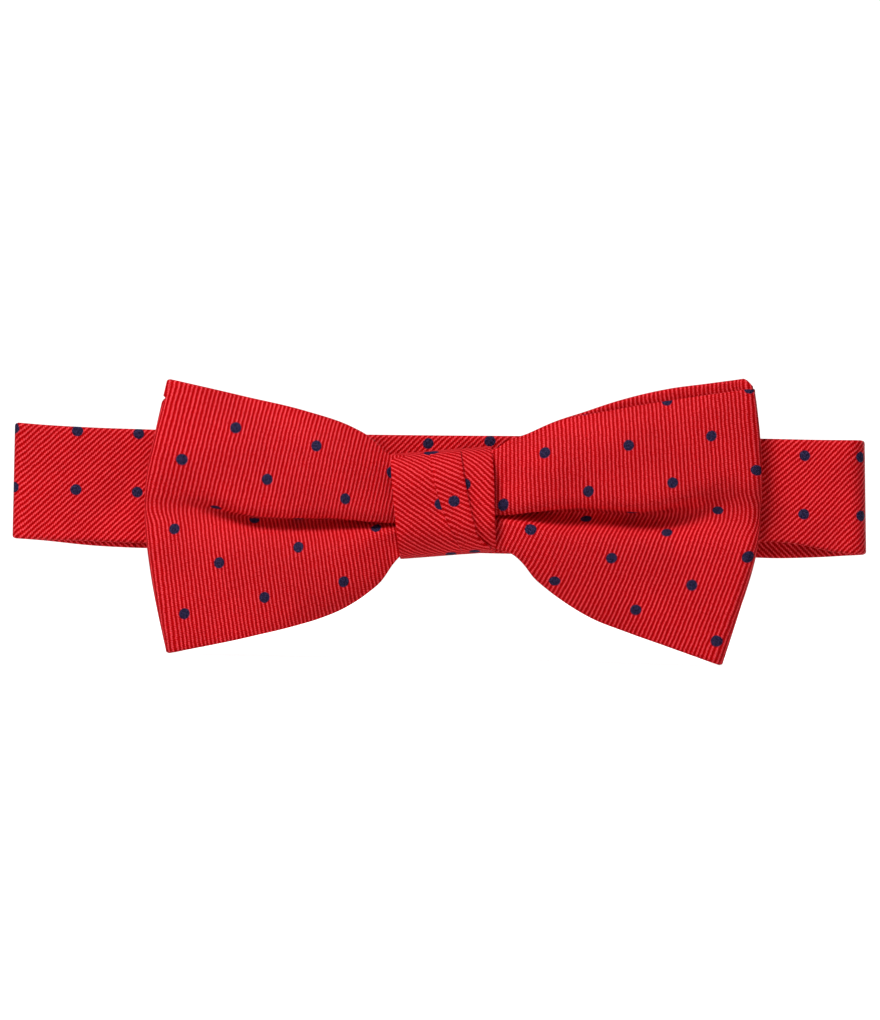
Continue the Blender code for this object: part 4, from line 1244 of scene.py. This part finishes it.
def thread_piece(name, paths, outward, radius, body, material, slot, *nodes):
    """Threads, each a round tube on its own path. With t from -1 to 1 along the thread, its radius is
    radius sqrt(1 - t^8), so the ends are round."""
    count, steps = paths.shape[:2]
    along = np.gradient(paths, axis=1)
    along /= np.linalg.norm(along, axis=-1, keepdims=True)
    side = np.cross(along, outward)
    side /= np.linalg.norm(side, axis=-1, keepdims=True)
    up = np.cross(side, along)
    t = np.linspace(-1, 1, steps)[None, :, None, None]
    turn = np.linspace(0, 2 * np.pi, THREAD_SIDES + 1)[:-1][None, None, :, None]
    width = radius * np.sqrt(1 - np.abs(t) ** 8)
    rings = paths[:, :, None] + width * (np.cos(turn) * up[:, :, None] + np.sin(turn) * side[:, :, None])
    i, j, k = np.meshgrid(np.arange(count), np.arange(steps - 1), np.arange(THREAD_SIDES), indexing="ij")
    this_ring = (i * steps + j) * THREAD_SIDES
    next_ring, next_k = this_ring + THREAD_SIDES, (k + 1) % THREAD_SIDES
    faces = np.stack([this_ring + k, this_ring + next_k, next_ring + next_k, next_ring + k], axis=-1)
    faces = faces.reshape(-1, 4)
    piece = finish_mesh(name, rings.reshape(-1, 3), faces, np.zeros((len(faces), 4, 2)), material)
    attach(piece, body)
    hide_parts(*nodes)


def stitches(starts, ends, lift, steps=9):
    """Stitches from starts to ends, each raised along lift by sin(pi t). All in mm."""
    t = np.linspace(0, 1, steps)[None, :, None]
    starts, ends = np.array(starts, float)[:, None], np.array(ends, float)[:, None]
    return (starts + t * (ends - starts) + np.sin(np.pi * t) * np.array(lift, float)) * MM


waist_low, waist_high = (np.array(corner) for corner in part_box("waist_thread"))
THREAD_RADIUS = 0.17 * MM
TURNS = 15
winding_ring, winding_length = rounded_loop(
    waist_low[1:] + THREAD_RADIUS, waist_high[1:] - THREAD_RADIUS, 1.0 * MM, 2.6 * MM, 48
)
winding = np.tile(winding_ring, (TURNS, 1))
winding_x = np.linspace(waist_low[0] + THREAD_RADIUS, waist_high[0] - THREAD_RADIUS, len(winding))
winding_path = np.concatenate([winding_x[:, None], winding], axis=1)
ring_out = np.roll(winding_ring, -1, axis=0) - np.roll(winding_ring, 1, axis=0)
ring_out = np.tile(np.stack([0 * ring_out[:, 0], ring_out[:, 1], -ring_out[:, 0]], axis=1), (TURNS, 1))
thread_piece(
    "waist_winding", winding_path[None], ring_out[None], THREAD_RADIUS, "root", RED_THREAD, "red_thread",
    "waist_thread",
)
print("waist winding", round(winding_length * TURNS / MM), "mm of thread")

# %% [markdown]
# The knot's edges are sewn down by hand, and the loops by bar tacks, which are short stitches side by side.
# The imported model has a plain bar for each. Its box says where the stitches go, and they fill it.

# %% Tacks, bar tacks and label stitches
BACKWARD = np.array([0.0, 1.0, 0.0])
STITCH_RADIUS = 0.13 * MM


def tack(node, body, material, slot, across, count, slope=0.0):
    """Short stitches side by side that fill the box of the node. They run along x if across is 0, or along z
    if it is 2, and slope is how far their ends are shifted sideways, in mm."""
    low, high = (np.array(corner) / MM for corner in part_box(node))
    other = 2 - across
    spread = np.linspace(0.08, 0.92, count)
    starts = np.zeros((count, 3))
    starts[:, across] = low[across] + 0.05 * (high - low)[across]
    starts[:, other] = low[other] + spread * (high - low)[other]
    starts[:, 1] = low[1] + 0.10
    ends = starts.copy()
    ends[:, across] = high[across] - 0.05 * (high - low)[across]
    ends[:, other] += slope
    paths = stitches(starts, ends, (0, 0.12, 0))
    outward = np.broadcast_to(BACKWARD, paths.shape)
    thread_piece(node + "_stitches", paths, outward, STITCH_RADIUS, body, material, slot, node)


for corner in ("upper_left", "upper_right", "lower_left", "lower_right"):
    tack("knot_tack_" + corner, "root", RED_THREAD, "red_thread", 0, 4, slope=0.15)
tack("hook_bartack", "left_strap", RED_THREAD, "red_thread", 0, 34)
tack("adjuster_bartack", "adjuster", RED_THREAD, "red_thread", 0, 34)
tack("label_stitches_left", "root", WHITE_THREAD, "white_thread", 2, 1)
tack("label_stitches_right", "root", WHITE_THREAD, "white_thread", 2, 1)

# %% [markdown]
# The label is a satin tape, left blank. It is sewn at its two ends, so its middle stands off the band a
# little: half a wave of a sine, a twentieth of a millimetre high.

# %% The blank label
label_low, label_high = (np.array(corner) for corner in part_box("care_label"))
label_x = np.linspace(label_low[0], label_high[0], 41)
label_z = label_low[2] + edge_samples(25, 0.6) * (label_high[2] - label_low[2])
sag = 0.05 * MM * np.sin(np.pi * (label_x - label_low[0]) / (label_high[0] - label_low[0]))
label_grid = np.stack([
    label_x[:, None] + 0 * label_z,
    (label_low[1] + label_high[1]) / 2 + sag[:, None] + 0 * label_z,
    label_z + 0 * label_x[:, None],
], axis=-1)
label = cloth_piece("label", label_grid, label_grid[..., [0, 2]] / MM, 0.11 * MM, 0.25 * MM, LABEL_TAPE)
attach(label, "root")
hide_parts("care_label")
cloth_sheet(label, label_grid, label_high[2] - label_low[2])

# %% [markdown]
# The hook, the eye and the slide are bent wire and stamped plate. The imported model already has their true
# shape, so only their finish is new.

# %% Fittings
FITTINGS = ("band_hook", "band_eye", "slide_adjuster")
for name in FITTINGS:
    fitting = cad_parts[name]
    fitting.data.materials.clear()
    fitting.data.materials.append(NICKEL)
print("plated:", FITTINGS)
